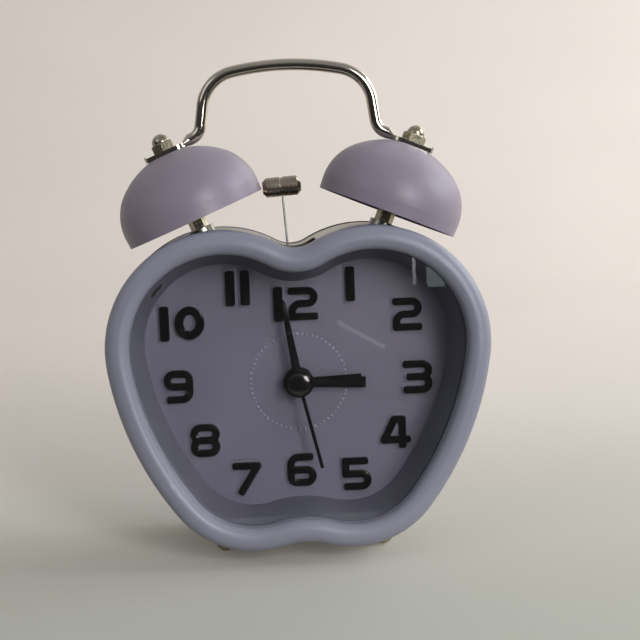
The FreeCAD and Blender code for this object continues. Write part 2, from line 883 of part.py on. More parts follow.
def bell(side):
    """Spun cup: a short skirt, a tight shoulder, a flatter crown and a flat seat with a centre hole."""
    def half_profile(inward):
        shoulder_middle = (bell_radius - bell_shoulder_round, bell_skirt)
        crown_middle = (0, bell_height - crown_radius)
        meet = math.degrees(math.atan2(crown_radius - bell_crown, shoulder_middle[0]))
        rim = V(bell_radius - bell_rim_draw - inward, 0, 0)
        seat = bell_seat - inward
        seat_edge = math.degrees(math.asin((seat - crown_middle[1]) / (crown_radius - inward)))
        arcs = []
        for centre, radius, start, end in (
            (shoulder_middle, bell_shoulder_round - inward, 0, meet),
            (crown_middle, crown_radius - inward, meet, seat_edge),
        ):
            points = [polar(centre, radius, t) for t in (start, (start + end) / 2, end)]
            arcs.append(Part.Arc(*[V(p[0], 0, p[1]) for p in points]).toShape())
        skirt = Part.LineSegment(rim, arcs[0].firstVertex().Point).toShape()
        flat = Part.LineSegment(arcs[1].lastVertex().Point, V(0, 0, seat)).toShape()
        return [skirt] + arcs + [flat], rim, V(0, 0, seat)

    outside, rim_out, top_out = half_profile(0)
    inside, rim_in, top_in = half_profile(bell_sheet)
    edges = outside + [Part.LineSegment(top_out, top_in).toShape()] + inside[::-1]
    edges.append(Part.LineSegment(rim_in, rim_out).toShape())
    cup = Part.Face(Part.Wire(Part.__sortEdges__(edges))).revolve(V(0, 0, 0), V(0, 0, 1), 360)
    cup = cup if cup.ShapeType == "Solid" else Part.Solid(cup)
    cup = cup.cut(Part.makeCylinder(stud_radius + fit_gap, bell_height + 2, V(0, 0, 0)))
    rim, axis = bell_frame(side)
    cup.Placement = FreeCAD.Placement(rim, FreeCAD.Rotation(V(0, 0, 1), axis))
    return cup


def bell_post(side):
    """Hexagonal standoff from the band's seat to the inside of the bell, with a stud at each end."""
    rim, axis = bell_frame(side)
    foot = seat_level() + post_seat_rise
    body = hexagon(post_across_flats, along(side, foot), axis, post_top - foot)
    lower = foot - post_seat_length - washer_thickness - nut_height - 1.0
    upper = nut_level + acorn_bore - 0.3
    return body.fuse(Part.makeCylinder(stud_radius, upper - lower, along(side, lower), axis))


def post_washers():
    """Washers under the seats, inside the case."""
    washers = []
    level = seat_level() + post_seat_rise - post_seat_length
    for side in (-1, 1):
        rim, axis = bell_frame(side)
        start = along(side, level - washer_thickness)
        ring_shape = Part.makeCylinder(washer_radius, washer_thickness, start, axis)
        washers.append(ring_shape.cut(Part.makeCylinder(stud_radius + fit_gap, 4, start - axis, axis)))
    return washers


def post_nuts():
    """Plain nuts that hold the posts from inside the case."""
    nuts = []
    level = seat_level() + post_seat_rise - post_seat_length - washer_thickness - nut_height
    for side in (-1, 1):
        rim, axis = bell_frame(side)
        start = along(side, level)
        nut = hexagon(nut_across_flats, start, axis, nut_height)
        nuts.append(nut.cut(Part.makeCylinder(stud_radius + running_gap, 6, start - axis, axis)))
    return nuts


def acorn_nuts():
    """Domed nuts on top of the handle's plates."""
    nuts = []
    for side, twist in ((-1, acorn_left_twist), (1, acorn_right_twist)):
        rim, axis = bell_frame(side)
        start = along(side, nut_level)
        corner = nut_across_flats / math.sqrt(3)
        hex_part = hexagon(nut_across_flats, start, axis, acorn_hex_height, twist)
        bevel = turned(
            [(0, 0), (corner, 0), (corner, acorn_hex_height - acorn_bevel),
             (corner - 1.6 * acorn_bevel, acorn_hex_height), (0, acorn_hex_height)], start, axis)
        dome = Part.makeSphere(acorn_dome_radius, along(side, nut_level + acorn_hex_height), axis)
        nut = hex_part.common(bevel).fuse(dome)
        below = Part.makeCylinder(corner + 1, 4, start - axis * 4, axis)
        nut = nut.cut(below)
        nut = nut.cut(Part.makeCylinder(stud_radius + running_gap, acorn_bore, start, axis))
        nuts.append(nut)
    return nuts


def handle_points():
    """Tangent points of the handle's centreline on the right, from above the plate to the top arc."""
    plate = along(1, plate_level + handle_taper_lift)
    inward = (-math.cos(math.radians(bell_tilt)), math.sin(math.radians(bell_tilt)))
    lean = math.radians(handle_leg_lean)
    leg = (-math.sin(lean), math.cos(lean))
    normal = (-math.cos(lean), -math.sin(lean))
    start = (plate.x, plate.z)
    cross = inward[0] * leg[1] - inward[1] * leg[0]
    to_leg = (handle_leg_x - start[0], handle_leg_z - start[1])
    distance = (to_leg[0] * leg[1] - to_leg[1] * leg[0]) / cross
    corner = (start[0] + inward[0] * distance, start[1] + inward[1] * distance)
    turn = math.radians(180 - bell_tilt - 90 - handle_leg_lean)
    tangent = handle_bend * math.tan(turn / 2)
    bend_start = (corner[0] - inward[0] * tangent, corner[1] - inward[1] * tangent)
    bend_end = (corner[0] + leg[0] * tangent, corner[1] + leg[1] * tangent)
    bend_middle = (
        bend_start[0] + inward[1] * handle_bend, bend_start[1] - inward[0] * handle_bend,
    )
    top_middle = (0, handle_top_z - handle_top_arc)
    origin = (handle_leg_x + normal[0] * handle_corner, handle_leg_z + normal[1] * handle_corner)
    offset = (origin[0] - top_middle[0], origin[1] - top_middle[1])
    half = offset[0] * leg[0] + offset[1] * leg[1]
    reach = (handle_top_arc - handle_corner) ** 2
    climb = -half + math.sqrt(half ** 2 - offset[0] ** 2 - offset[1] ** 2 + reach)
    corner_middle = (origin[0] + leg[0] * climb, origin[1] + leg[1] * climb)
    leg_end = (handle_leg_x + leg[0] * climb, handle_leg_z + leg[1] * climb)
    top_start = towards(top_middle, corner_middle, handle_top_arc)
    return start, inward, bend_start, bend_middle, bend_end, leg_end, corner_middle, top_start, top_middle


def carry_handle():
    """Round wire bent over the bells, with flattened and bored ends under the acorn nuts."""
    start, inward, bend_start, bend_middle, bend_end, leg_end, corner_middle, top_start, top_middle = \
        handle_points()
    wire_start = (start[0] + inward[0] * handle_taper_end, start[1] + inward[1] * handle_taper_end)

    def mirror(point):
        return (-point[0], point[1])

    def line(a, b):
        return Part.LineSegment(V(a[0], bell_y, a[1]), V(b[0], bell_y, b[1])).toShape()

    right = [
        line(wire_start, bend_start),
        arc_between(bend_start, bend_end, bend_middle, bell_y),
        line(bend_end, leg_end),
        arc_between(leg_end, top_start, corner_middle, bell_y),
    ]
    left = [
        arc_between(mirror(top_start), mirror(leg_end), mirror(corner_middle), bell_y),
        line(mirror(leg_end), mirror(bend_end)),
        arc_between(mirror(bend_end), mirror(bend_start), mirror(bend_middle), bell_y),
        line(mirror(bend_start), mirror(wire_start)),
    ]
    top = arc_between(top_start, mirror(top_start), top_middle, bell_y)
    path = Part.Wire(right + [top] + left)
    section = Part.Wire(Part.makeCircle(
        handle_wire / 2, V(wire_start[0], bell_y, wire_start[1]), V(inward[0], 0, inward[1])))
    body = path.makePipeShell([section], True, False)
    for side in (1, -1):
        body = body.fuse(handle_end(side))
    return body.removeSplitter()


def handle_end(side):
    """Flattened and bored plate with a small lip, drawn with the bell axis along Z, then put in place."""
    half = plate_width / 2
    low = -plate_thickness / 2
    inner = half - plate_inner_end
    edges = [
        Part.LineSegment(V(inner, -half, low), V(plate_end, -half, low)).toShape(),
        Part.LineSegment(V(plate_end, -half, low), V(plate_end, half, low)).toShape(),
        Part.LineSegment(V(plate_end, half, low), V(inner, half, low)).toShape(),
        Part.Arc(V(inner, half, low), V(-plate_inner_end, 0, low), V(inner, -half, low)).toShape(),
    ]
    face = Part.Face(Part.Wire(edges))
    plate = face.extrude(V(0, 0, plate_thickness))
    lip = face.extrude(V(0, 0, plate_thickness + plate_lip_rise))
    lip = lip.common(block(plate_end - plate_lip_width, plate_end + 1, -plate_width, plate_width, -9, 9))
    plate = plate.fuse(lip).removeSplitter()
    plate = soften(plate, plate_corner_round, lambda box: box.ZLength > plate_thickness
                   and box.XMin > plate_end - 0.01 and box.YLength < 0.01)
    plate = plate.cut(Part.makeCylinder(stud_radius + fit_gap, 6, V(0, 0, -3)))
    x = -handle_taper_start
    oval = Part.Ellipse(V(x, 0.76 * half, 0), V(x, 0, plate_thickness / 2 - 0.02), V(x, 0, 0))
    halves = [Part.ArcOfEllipse(oval, start, start + math.pi) for start in (0, math.pi)]
    flat_section = Part.Wire([half_oval.toShape() for half_oval in halves])
    x, r = -handle_taper_end, handle_wire / 2
    ends = (V(x, r, handle_taper_lift), V(x, -r, handle_taper_lift))
    round_section = Part.Wire([
        Part.Arc(ends[0], V(x, 0, handle_taper_lift + r), ends[1]).toShape(),
        Part.Arc(ends[1], V(x, 0, handle_taper_lift - r), ends[0]).toShape(),
    ])
    taper = Part.makeLoft([flat_section, round_section], True, False)
    body = plate.fuse(taper)
    rotation = FreeCAD.Rotation(V(0, 1, 0), bell_tilt)
    body.Placement = FreeCAD.Placement(along(1, plate_level), rotation)
    if side < 0:
        body = body.mirror(V(0, 0, 0), V(1, 0, 0))
    return body


# Hammer and alarm motor

PIVOT = (0.0, pivot_z)
rim_tip_x = bell_x - (bell_radius - bell_rim_draw) * math.cos(math.radians(bell_tilt))
hammer_tilt = math.degrees(math.asin((rim_tip_x - head_gap - head_length / 2) / head_height))
lever_front = bell_y - lever_thickness / 2
lever_back = bell_y + lever_thickness / 2
deck_back = movement_front + movement_wall
bracket_front = lever_back + 0.8
bracket_thickness = 1.0
motor_front = bracket_front + bracket_thickness
YOKE = (0.0, pivot_z + yoke_height)


def tilted(shape):
    """Upright hammer piece turned to its place at rest against the left bell."""
    shape = shape.copy()
    shape.rotate(V(PIVOT[0], bell_y, PIVOT[1]), V(0, 1, 0), -hammer_tilt)
    return shape


def hammer_head():
    """Turned steel head, chamfered at both ends with a groove round the middle."""
    half = head_length / 2
    profile = [
        (0, -half), (head_radius - head_chamfer, -half), (head_radius, -half + head_chamfer),
        (head_radius, -head_groove / 2), (head_radius - 0.3, -head_groove / 2),
        (head_radius - 0.3, head_groove / 2), (head_radius, head_groove / 2),
        (head_radius, half - head_chamfer), (head_radius - head_chamfer, half), (0, half),
    ]
    head = turned(profile, V(PIVOT[0], bell_y, pivot_z + head_height), V(1, 0, 0))
    bore_foot = V(PIVOT[0], bell_y, pivot_z + head_height - head_radius - 0.5)
    bore = Part.makeCylinder(wire_radius + running_gap, head_radius, bore_foot)
    return tilted(head.cut(bore))


def hammer_wire():
    """Spring wire between the lever and the head."""
    low = pivot_z + lever_length - 2.5
    high = pivot_z + head_height - 0.7
    return tilted(Part.makeCylinder(wire_radius, high - low, V(PIVOT[0], bell_y, low)))


def hammer_lever():
    """Moulded lever with its pivot eye, the open yoke round the eccentric and a socket for the wire."""
    eye = disc(PIVOT, 2.5, lever_front, lever_back)
    window_width = 2 * (eccentric_radius + eccentric_throw + 1.3)
    window_height = 2 * (eccentric_radius + eccentric_throw + 0.6)
    web = 1.5
    x = window_width / 2 + web
    low = YOKE[1] - window_height / 2 - web
    high = YOKE[1] + window_height / 2 + web
    stem = block(-1.6, 1.6, lever_front, lever_back, pivot_z, low + 0.5)
    frame = block(-x, x, lever_front, lever_back, low, high)
    window = block(-window_width / 2, window_width / 2, lever_front - 1, lever_back + 1,
                   low + web, high - web)
    socket = block(-0.8, 0.8, lever_front, lever_back, high - 0.2, pivot_z + lever_length)
    body = eye.fuse(stem).fuse(frame).fuse(socket).cut(window)
    body = body.cut(disc(PIVOT, pivot_pin_radius + running_gap, lever_front - 1, lever_back + 1))
    hole_low = pivot_z + lever_length - 2.7
    wire_hole = Part.makeCylinder(wire_radius + running_gap, 6, V(0, bell_y, hole_low))
    return tilted(body.cut(wire_hole))


def pivot_pin():
    """Steel pin between the deck and the motor bracket."""
    return disc(PIVOT, pivot_pin_radius, deck_back - 1.0, bracket_front + bracket_thickness)


def bracket_posts():
    """Two posts of the deck that carry the motor bracket."""
    heights = (bracket_post_high_z, bracket_post_low_z)
    return [(x, z) for z in heights for x in (-bracket_post_x, bracket_post_x)]


def deck_corners(inset, low):
    """Corners of the deck, or of the bracket that stands over it, from a lower edge upwards."""
    x = deck_half_width - inset
    shoulder = deck_shoulder_z - inset
    right = [(x, low), (x, shoulder), (deck_top_half_width, deck_top_z)]
    return right + [(-x, z) for x, z in reversed(right)]


def motor_bracket():
    """Steel plate on four posts, bored for the motor's nose and the pivot pin."""
    back = bracket_front + bracket_thickness
    corners = deck_corners(bracket_inset, bracket_low_z)
    body = plate_from(corners, bracket_front, back)
    body = body.cut(disc(YOKE, 2.1, bracket_front - 1, back + 1))
    body = body.cut(disc(PIVOT, pivot_pin_radius + running_gap, bracket_front - 1, back + 1))
    for centre in bracket_posts():
        body = body.cut(disc(centre, screw_hole_radius, bracket_front - 1, back + 1))
    return body


def alarm_motor():
    """Flat-sided motor can with its nose in the bracket, an end cap and two tags."""
    can = disc(YOKE, motor_can_radius, motor_front, motor_front + motor_length)
    flats = block(-10, 10, motor_front, motor_front + motor_length,
                  YOKE[1] - motor_flat, YOKE[1] + motor_flat)
    body = can.common(flats)
    body = soften(body, 0.6, lambda box: box.YMax < motor_front + 0.01)
    body = body.fuse(disc(YOKE, 2.0, bracket_front, motor_front + 0.5))
    body = body.fuse(disc(YOKE, 3.0, motor_front + motor_length, motor_front + motor_length + 1.2))
    for side in (-1, 1):
        tag = block(side * 4.2 - 0.2, side * 4.2 + 0.2, motor_front + motor_length - 0.5,
                    motor_front + motor_length + 2.5, YOKE[1] - 1, YOKE[1] + 1)
        body = body.fuse(tag)
    return body.cut(disc(YOKE, motor_shaft_radius + running_gap, bracket_front - 1, motor_front + 6))


def motor_shaft():
    """Motor shaft that carries the eccentric."""
    return disc(YOKE, motor_shaft_radius, lever_front - 0.4, motor_front + 5.5)


def striker_eccentric():
    """Off-centre roller that rocks the hammer lever."""
    centre = (YOKE[0] - eccentric_throw, YOKE[1])
    body = disc(centre, eccentric_radius, lever_front - 0.2, lever_back + 0.2)
    return body.cut(disc(YOKE, motor_shaft_radius + running_gap / 5, lever_front - 1, lever_back + 1))


# Movement

MINUTE_AXIS = polar((0, 0), minute_distance, minute_direction)
ALARM_AXIS = polar((0, 0), alarm_distance, alarm_direction)
THIRD_AXIS = polar((0, 0), third_distance, third_direction)
INTERMEDIATE_AXIS = polar((0, 0), intermediate_distance, intermediate_direction)
ROTOR_AXIS = polar(INTERMEDIATE_AXIS, rotor_distance, rotor_direction)

alarm_layer = movement_front + movement_wall + plate_gap
hour_layer = alarm_layer + wheel_thickness + 0.6
cannon_layer = hour_layer + wheel_thickness + 0.6
centre_layer = cannon_layer + pinion_thickness + 0.6
third_layer = centre_layer + wheel_thickness + 0.8
second_layer = third_layer + wheel_thickness + 0.8
intermediate_layer = second_layer + wheel_thickness + 0.7
bridge_front = intermediate_layer + wheel_thickness + 0.5
bridge_back = bridge_front + bridge_thickness
board_front = movement_back - movement_wall - board_thickness - 0.2

second_arbor = arbor_radius
centre_pipe = second_arbor + running_gap + pipe_wall - 0.1
cannon_pipe = centre_pipe + running_gap + pipe_wall
hour_pipe = cannon_pipe + running_gap + pipe_wall
alarm_pipe = hour_pipe + running_gap + pipe_wall
bushing_radius = alarm_pipe + running_gap + 1.1
key_hub_radius = 2.2
knob_front = cover_back + 0.6
knob_seat = knob_front + knob_height - 1.0

alarm_hand_y = dial_front - numeral_pad_height - numeral_thickness - hand_gap
hour_hand_y = alarm_hand_y - hand_thickness - hand_gap
minute_hand_y = hour_hand_y - hand_thickness - hand_gap
second_hand_y = minute_hand_y - hand_thickness - hand_gap


def gear(teeth, module, centre, front, thickness, toward):
    """Straight-flanked wheel with a tooth that points in the direction toward, in degrees."""
    pitch = module * teeth / 2
    tip = pitch + addendum * module
    root = pitch - dedendum * module
    step = 360.0 / teeth
    corners = []
    for i in range(teeth):
        middle = toward + i * step
        for radius, share in ((root, -tooth_share * 0.62), (tip, -tip_share / 2),
                              (tip, tip_share / 2), (root, tooth_share * 0.62)):
            corners.append(polar(centre, radius, middle + share * step))
    return plate_from(corners, front, front + thickness)


def module_of(teeth, other_teeth, distance):
    """Tooth size that brings two wheels into mesh at a distance."""
    return 2 * distance / (teeth + other_teeth)


def gap_toward(teeth, direction):
    """Tooth direction that leaves a gap between teeth in the given direction."""
    return direction + 180.0 / teeth


def lightened(wheel, centre, inner, outer, spokes, front, thickness):
    """Wheel with round holes between its hub and its rim."""
    radius = (outer - inner) / 2
    middle = (outer + inner) / 2
    for i in range(spokes):
        hole = disc(polar(centre, middle, 360.0 / spokes * i), radius, front - 1, front + thickness + 1)
        wheel = wheel.cut(hole)
    return wheel


def second_wheel():
    """Wheel and pinion on the long centre arbor that turns once a minute."""
    module = module_of(intermediate_pinion_teeth, second_teeth, intermediate_distance)
    wheel = gear(second_teeth, module, (0, 0), second_layer, wheel_thickness, intermediate_direction)
    wheel = lightened(wheel, (0, 0), 3.0, 8.0, 5, second_layer, wheel_thickness)
    pinion_module = module_of(second_pinion_teeth, third_teeth, third_distance)
    pinion = gear(second_pinion_teeth, pinion_module, (0, 0), third_layer - 0.2,
                  second_layer - third_layer + 0.2, third_direction)
    arbor = disc((0, 0), second_arbor, second_hand_y, bridge_back - 0.2)
    return wheel.fuse(pinion).fuse(arbor)


def third_wheel():
    """Wheel and pinion between the second wheel and the centre wheel."""
    module = module_of(second_pinion_teeth, third_teeth, third_distance)
    wheel = gear(third_teeth, module, THIRD_AXIS, third_layer, wheel_thickness,
                 gap_toward(third_teeth, third_direction + 180))
    wheel = lightened(wheel, THIRD_AXIS, 3.0, 8.4, 5, third_layer, wheel_thickness)
    pinion_module = module_of(third_pinion_teeth, centre_teeth, third_distance)
    pinion = gear(third_pinion_teeth, pinion_module, THIRD_AXIS, centre_layer - 0.2,
                  third_layer - centre_layer + 0.2, third_direction + 180)
    arbor = disc(THIRD_AXIS, arbor_radius, movement_front + 0.4, bridge_back - 0.2)
    return wheel.fuse(pinion).fuse(arbor)


def centre_wheel():
    """Wheel with a short pipe that turns once an hour and drives the cannon pinion by friction."""
    module = module_of(third_pinion_teeth, centre_teeth, third_distance)
    wheel = gear(centre_teeth, module, (0, 0), centre_layer, wheel_thickness,
                 gap_toward(centre_teeth, third_direction))
    wheel = lightened(wheel, (0, 0), 3.0, 8.4, 5, centre_layer, wheel_thickness)
    body = wheel.fuse(disc((0, 0), centre_pipe, cannon_layer - 1.0, centre_layer + wheel_thickness))
    return body.cut(disc((0, 0), second_arbor + running_gap, cannon_layer - 2, centre_layer + 2))


def cannon_pinion():
    """Pinion and pipe that carry the minute hand."""
    module = module_of(cannon_teeth, minute_teeth, minute_distance)
    pinion = gear(cannon_teeth, module, (0, 0), cannon_layer, pinion_thickness, minute_direction)
    body = pinion.fuse(disc((0, 0), cannon_pipe, minute_hand_y, cannon_layer + pinion_thickness))
    body = body.cut(disc((0, 0), second_arbor + 2 * running_gap, minute_hand_y - 1, centre_layer))
    return body.cut(disc((0, 0), centre_pipe + running_gap, cannon_layer - 1.2, centre_layer))


def minute_wheel():
    """Motion wheel whose long arbor leaves through the back to the time-set knob."""
    module = module_of(cannon_teeth, minute_teeth, minute_distance)
    wheel = gear(minute_teeth, module, MINUTE_AXIS, cannon_layer + 0.2, wheel_thickness,
                 gap_toward(minute_teeth, minute_direction + 180))
    pinion_module = module_of(minute_pinion_teeth, hour_teeth, minute_distance)
    pinion = gear(minute_pinion_teeth, pinion_module, MINUTE_AXIS, hour_layer - 0.2,
                  cannon_layer - hour_layer + 0.4, minute_direction + 180)
    arbor = disc(MINUTE_AXIS, key_arbor_radius, movement_front + 0.4, knob_seat)
    return wheel.fuse(pinion).fuse(arbor)


def hour_wheel():
    """Wheel and pipe that carry the hour hand."""
    module = module_of(minute_pinion_teeth, hour_teeth, minute_distance)
    wheel = gear(hour_teeth, module, (0, 0), hour_layer, wheel_thickness,
                 gap_toward(hour_teeth, minute_direction))
    body = wheel.fuse(disc((0, 0), hour_pipe, hour_hand_y, hour_layer + wheel_thickness))
    return body.cut(disc((0, 0), cannon_pipe + running_gap, hour_hand_y - 1, hour_layer + 3))


def alarm_wheel():
    """Wheel and pipe that carry the alarm hand."""
    module = module_of(alarm_pinion_teeth, alarm_teeth, alarm_distance)
    wheel = gear(alarm_teeth, module, (0, 0), alarm_layer, wheel_thickness,
                 gap_toward(alarm_teeth, alarm_direction))
    body = wheel.fuse(disc((0, 0), alarm_pipe, alarm_hand_y, alarm_layer + wheel_thickness))
    return body.cut(disc((0, 0), hour_pipe + running_gap, alarm_hand_y - 1, alarm_layer + 3))


def alarm_setting_pinion():
    """Pinion on the long arbor of the alarm-set knob."""
    module = module_of(alarm_pinion_teeth, alarm_teeth, alarm_distance)
    pinion = gear(alarm_pinion_teeth, module, ALARM_AXIS, alarm_layer - 0.2, pinion_thickness,
                  alarm_direction + 180)
    return pinion.fuse(disc(ALARM_AXIS, key_arbor_radius, movement_front + 0.4, knob_seat))


def intermediate_wheel():
    """Wheel and pinion between the rotor and the second wheel."""
    module = module_of(rotor_teeth, intermediate_teeth, rotor_distance)
    wheel = gear(intermediate_teeth, module, INTERMEDIATE_AXIS, intermediate_layer, wheel_thickness,
                 gap_toward(intermediate_teeth, rotor_direction))
    pinion_module = module_of(intermediate_pinion_teeth, second_teeth, intermediate_distance)
    pinion = gear(intermediate_pinion_teeth, pinion_module, INTERMEDIATE_AXIS, second_layer - 0.2,
                  intermediate_layer - second_layer + 0.2,
                  gap_toward(intermediate_pinion_teeth, intermediate_direction + 180))
    arbor = disc(INTERMEDIATE_AXIS, arbor_radius, movement_front + 0.4, bridge_back - 0.2)
    return wheel.fuse(pinion).fuse(arbor)


def rotor():
    """Stepping magnet on its small pinion and arbor."""
    module = module_of(rotor_teeth, intermediate_teeth, rotor_distance)
    pinion = gear(rotor_teeth, module, ROTOR_AXIS, intermediate_layer - 0.2, pinion_thickness,
                  rotor_direction + 180)
    arbor_back = movement_back - movement_wall - 0.4
    arbor = disc(ROTOR_AXIS, rotor_arbor_radius, intermediate_layer - 1.6, arbor_back)
    magnet = disc(ROTOR_AXIS, rotor_magnet_radius, bridge_back + 0.4, bridge_back + 2.2)
    return pinion.fuse(arbor).fuse(magnet)


def movement_shell(front, back, cover_at_front):
    """Rounded box open on one side."""
    x = movement_half_width
    outer = block(-x, x, front, back, movement_bottom, movement_top)
    outer = soften(outer, 3.0, lambda box: box.YLength > back - front - 0.01)
    w = movement_wall
    inner_front = front + w if cover_at_front else front - 1
    inner_back = back + 1 if cover_at_front else back - w
    inner = block(-x + w, x - w, inner_front, inner_back, movement_bottom + w, movement_top - w)
    inner = soften(inner, 3.0 - w, lambda box: box.YLength > inner_back - inner_front - 0.01)
    return outer.cut(inner)


def bridge_post_centres():
    """Four posts of the front housing that carry the train bridge."""
    right = bridge_right_x - 2.0
    return [(right, bridge_low_z + 3.0), (right, bridge_high_z - 2.2),
            (bridge_left_x + 10.0, bridge_low_z + 1.2), (bridge_step_x + 4.0, bridge_high_z - 1.6)]


def movement_front_housing():
    """Front half of the movement: bearing plate, walls, lugs and the deck for the alarm motor."""
    body = movement_shell(movement_front, split_y, True)
    lug_front = movement_front + lug_boss_height
    for x, z in lug_centres():
        side = 1 if x > 0 else -1
        root = side * (movement_half_width - movement_wall / 2)
        lug = block(min(x, root), max(x, root), lug_front, lug_front + lug_thickness,
                    z - lug_radius, z + lug_radius)
        lug = lug.fuse(disc((x, z), lug_radius, lug_front, lug_front + lug_thickness))
        body = body.fuse(lug.cut(disc((x, z), screw_hole_radius, lug_front - 1, lug_front + 3)))
    deck = plate_from(deck_corners(0, deck_low_z), movement_front, deck_back)
    body = body.fuse(deck)
    for centre in bracket_posts():
        body = body.fuse(disc(centre, bracket_post_radius, deck_back, bracket_front))
        pilot = disc(centre, movement_screw_radius + running_gap, bracket_front - 3.5, bracket_front + 1)
        body = body.cut(pilot)
    body = body.cut(disc(PIVOT, pivot_pin_radius + running_gap / 5, deck_back - 1.0, deck_back + 1))
    body = body.fuse(disc((0, 0), bushing_radius, dial_front + 0.2, movement_front + movement_wall))
    body = body.cut(disc((0, 0), alarm_pipe + running_gap, dial_front - 1, movement_front + 3))
    for centre in bridge_post_centres():
        body = body.fuse(disc(centre, bridge_post_radius, movement_front + 0.5, bridge_front))
    body = body.fuse(disc(ROTOR_AXIS, 1.4, movement_front + 0.5, intermediate_layer - 0.6))
    bore = disc(ROTOR_AXIS, rotor_arbor_radius + running_gap, intermediate_layer - 2, intermediate_layer)
    body = body.cut(bore)
    for centre, radius in ((THIRD_AXIS, arbor_radius), (INTERMEDIATE_AXIS, arbor_radius),
                           (MINUTE_AXIS, key_arbor_radius), (ALARM_AXIS, key_arbor_radius)):
        body = body.cut(disc(centre, radius + running_gap, movement_front + 0.3, movement_front + 3))
    return body


def movement_back_housing():
    """Back half of the movement, bored for the two key arbors."""
    body = movement_shell(split_y, movement_back, False)
    for centre in (MINUTE_AXIS, ALARM_AXIS):
        body = body.cut(disc(centre, key_arbor_radius + running_gap, movement_back - 3, movement_back + 1))
    rotor_boss = disc(ROTOR_AXIS, 1.4, movement_back - movement_wall - 0.8, movement_back - 0.5)
    body = body.fuse(rotor_boss)
    return body.cut(disc(ROTOR_AXIS, rotor_arbor_radius + running_gap,
                         movement_back - movement_wall - 1, movement_back - 0.9))


def train_bridge():
    """Plate that carries the back pivots of the train."""
    corners = [
        (bridge_left_x, bridge_low_z), (bridge_right_x, bridge_low_z), (bridge_right_x, bridge_high_z),
        (bridge_step_x, bridge_high_z), (bridge_step_x, bridge_step_z), (bridge_left_x, bridge_cut_z),
    ]
    body = plate_from(corners, bridge_front, bridge_back)
    for centre, radius in (((0, 0), second_arbor), (THIRD_AXIS, arbor_radius),
                           (INTERMEDIATE_AXIS, arbor_radius), (ROTOR_AXIS, rotor_arbor_radius)):
        body = body.cut(disc(centre, radius + running_gap, bridge_front - 1, bridge_back + 1))
    return body.cut(disc(MINUTE_AXIS, key_arbor_radius + 0.4, bridge_front - 1, bridge_back + 1))


def stator():
    """Soft iron yoke: an eye round the rotor and two arms to the coil."""
    front = bridge_back + 0.9
    back = front + 0.8
    x = coil_x
    arm = plate_from([(x - 1.2, coil_low - 2.4), (x + 1.2, coil_low - 2.4), (x + 1.2, coil_high + 2.4),
                      (x - 1.2, coil_high + 2.4)], front, back)
    eye = disc(ROTOR_AXIS, rotor_magnet_radius + 2.2, front, back)
    link = plate_from([(x - 1.2, ROTOR_AXIS[1] - 2), (ROTOR_AXIS[0], ROTOR_AXIS[1] - 2),
                       (ROTOR_AXIS[0], ROTOR_AXIS[1] + 2), (x + 1.2, coil_low - 0.1),
                       (x - 1.2, coil_low - 0.1)], front, back)
    far = plate_from([(x - 1.2, coil_high), (-13.6, coil_high), (-13.6, ROTOR_AXIS[1] + 3.2),
                      (-16.0, ROTOR_AXIS[1] + 3.2), (-16.0, coil_high + 2.4 - 4.4 + 4.2),
                      (x - 1.2, coil_high + 2.4)], front, back)
    body = arm.fuse(eye).fuse(link).fuse(far)
    return body.cut(disc(ROTOR_AXIS, rotor_magnet_radius + 0.4, front - 1, back + 1)).removeSplitter()


def coil():
    """Bobbin of fine wire on the stator's long arm."""
    middle = bridge_back + 0.9 + 0.4
    core = block(coil_x - 1.2 - fit_gap, coil_x + 1.2 + fit_gap,
                 middle - 0.4 - fit_gap, middle + 0.4 + fit_gap, coil_low - 1, coil_high + 1)
    body = Part.makeCylinder(1.9, coil_high - coil_low, V(coil_x, middle, coil_low))
    for z in (coil_low, coil_high - 0.8):
        body = body.fuse(Part.makeCylinder(2.2, 0.8, V(coil_x, middle, z)))
    return body.cut(core)


def circuit_board():
    """Board on the back housing's inside, with holes for the two key arbors."""
    body = block(-12.9, 25.2, board_front, board_front + board_thickness, -19.6, 14.0)
    for centre in (MINUTE_AXIS, ALARM_AXIS):
        body = body.cut(disc(centre, key_arbor_radius + 0.6, board_front - 1, board_front + 2))
    chip = disc((14, 4), 3.0, board_front - 0.8, board_front)
    crystal_can = block(4, 12, board_front - 1.2, board_front, -15.5, -13.0)
    return body.fuse(chip).fuse(crystal_can)


def movement_screws():
    """Eight like screws: four through the lugs into the dial's bosses, four in the motor bracket."""
    lug_back = movement_front + lug_boss_height + lug_thickness
    places = [(centre, lug_back) for centre in lug_centres()]
    places += [(centre, motor_front) for centre in bracket_posts()]
    screws = []
    for centre, seat in places:
        head = disc(centre, 1.9, seat, seat + 1.2)
        shank = disc(centre, movement_screw_radius, seat - 4.0, seat)
        screws.append(cross_cut(head.fuse(shank), centre, seat + 1.2, 0.7))
    return screws


# Hands

def hand(length, root, end, hub, bore, angle, y, round_tip=False):
    """Pressed hand with a round hub and a raised rib, drawn to twelve and turned to its angle."""
    reach = length - end / 2 if round_tip else length
    corners = [(-root / 2, 0), (root / 2, 0), (end / 2, reach), (-end / 2, reach)]
    body = plate_from(corners, y, y + hand_thickness)
    if round_tip:
        body = body.fuse(disc((0, reach), end / 2, y, y + hand_thickness))
    body = body.fuse(disc((0, 0), hub, y, y + hand_thickness))
    rib = block(-rib_width / 2, rib_width / 2, y - rib_height, y + hand_thickness / 2, 0, reach - rib_width)
    rib = rib.cut(disc((0, 0), hub, y - 1, y + 1))
    rib = soften(rib, rib_height * 0.8, lambda box: box.YMax < y - rib_height + 0.01 and box.ZLength > hub)
    body = body.fuse(rib).cut(disc((0, 0), bore, y - 1, y + 2))
    body.rotate(V(0, 0, 0), V(0, 1, 0), angle)
    return body.removeSplitter()


def hour_hand():
    return hand(hour_hand_length, hour_hand_root, hour_hand_end, hour_hub_radius,
                hour_pipe + running_gap / 5, hour_hand_angle, hour_hand_y)


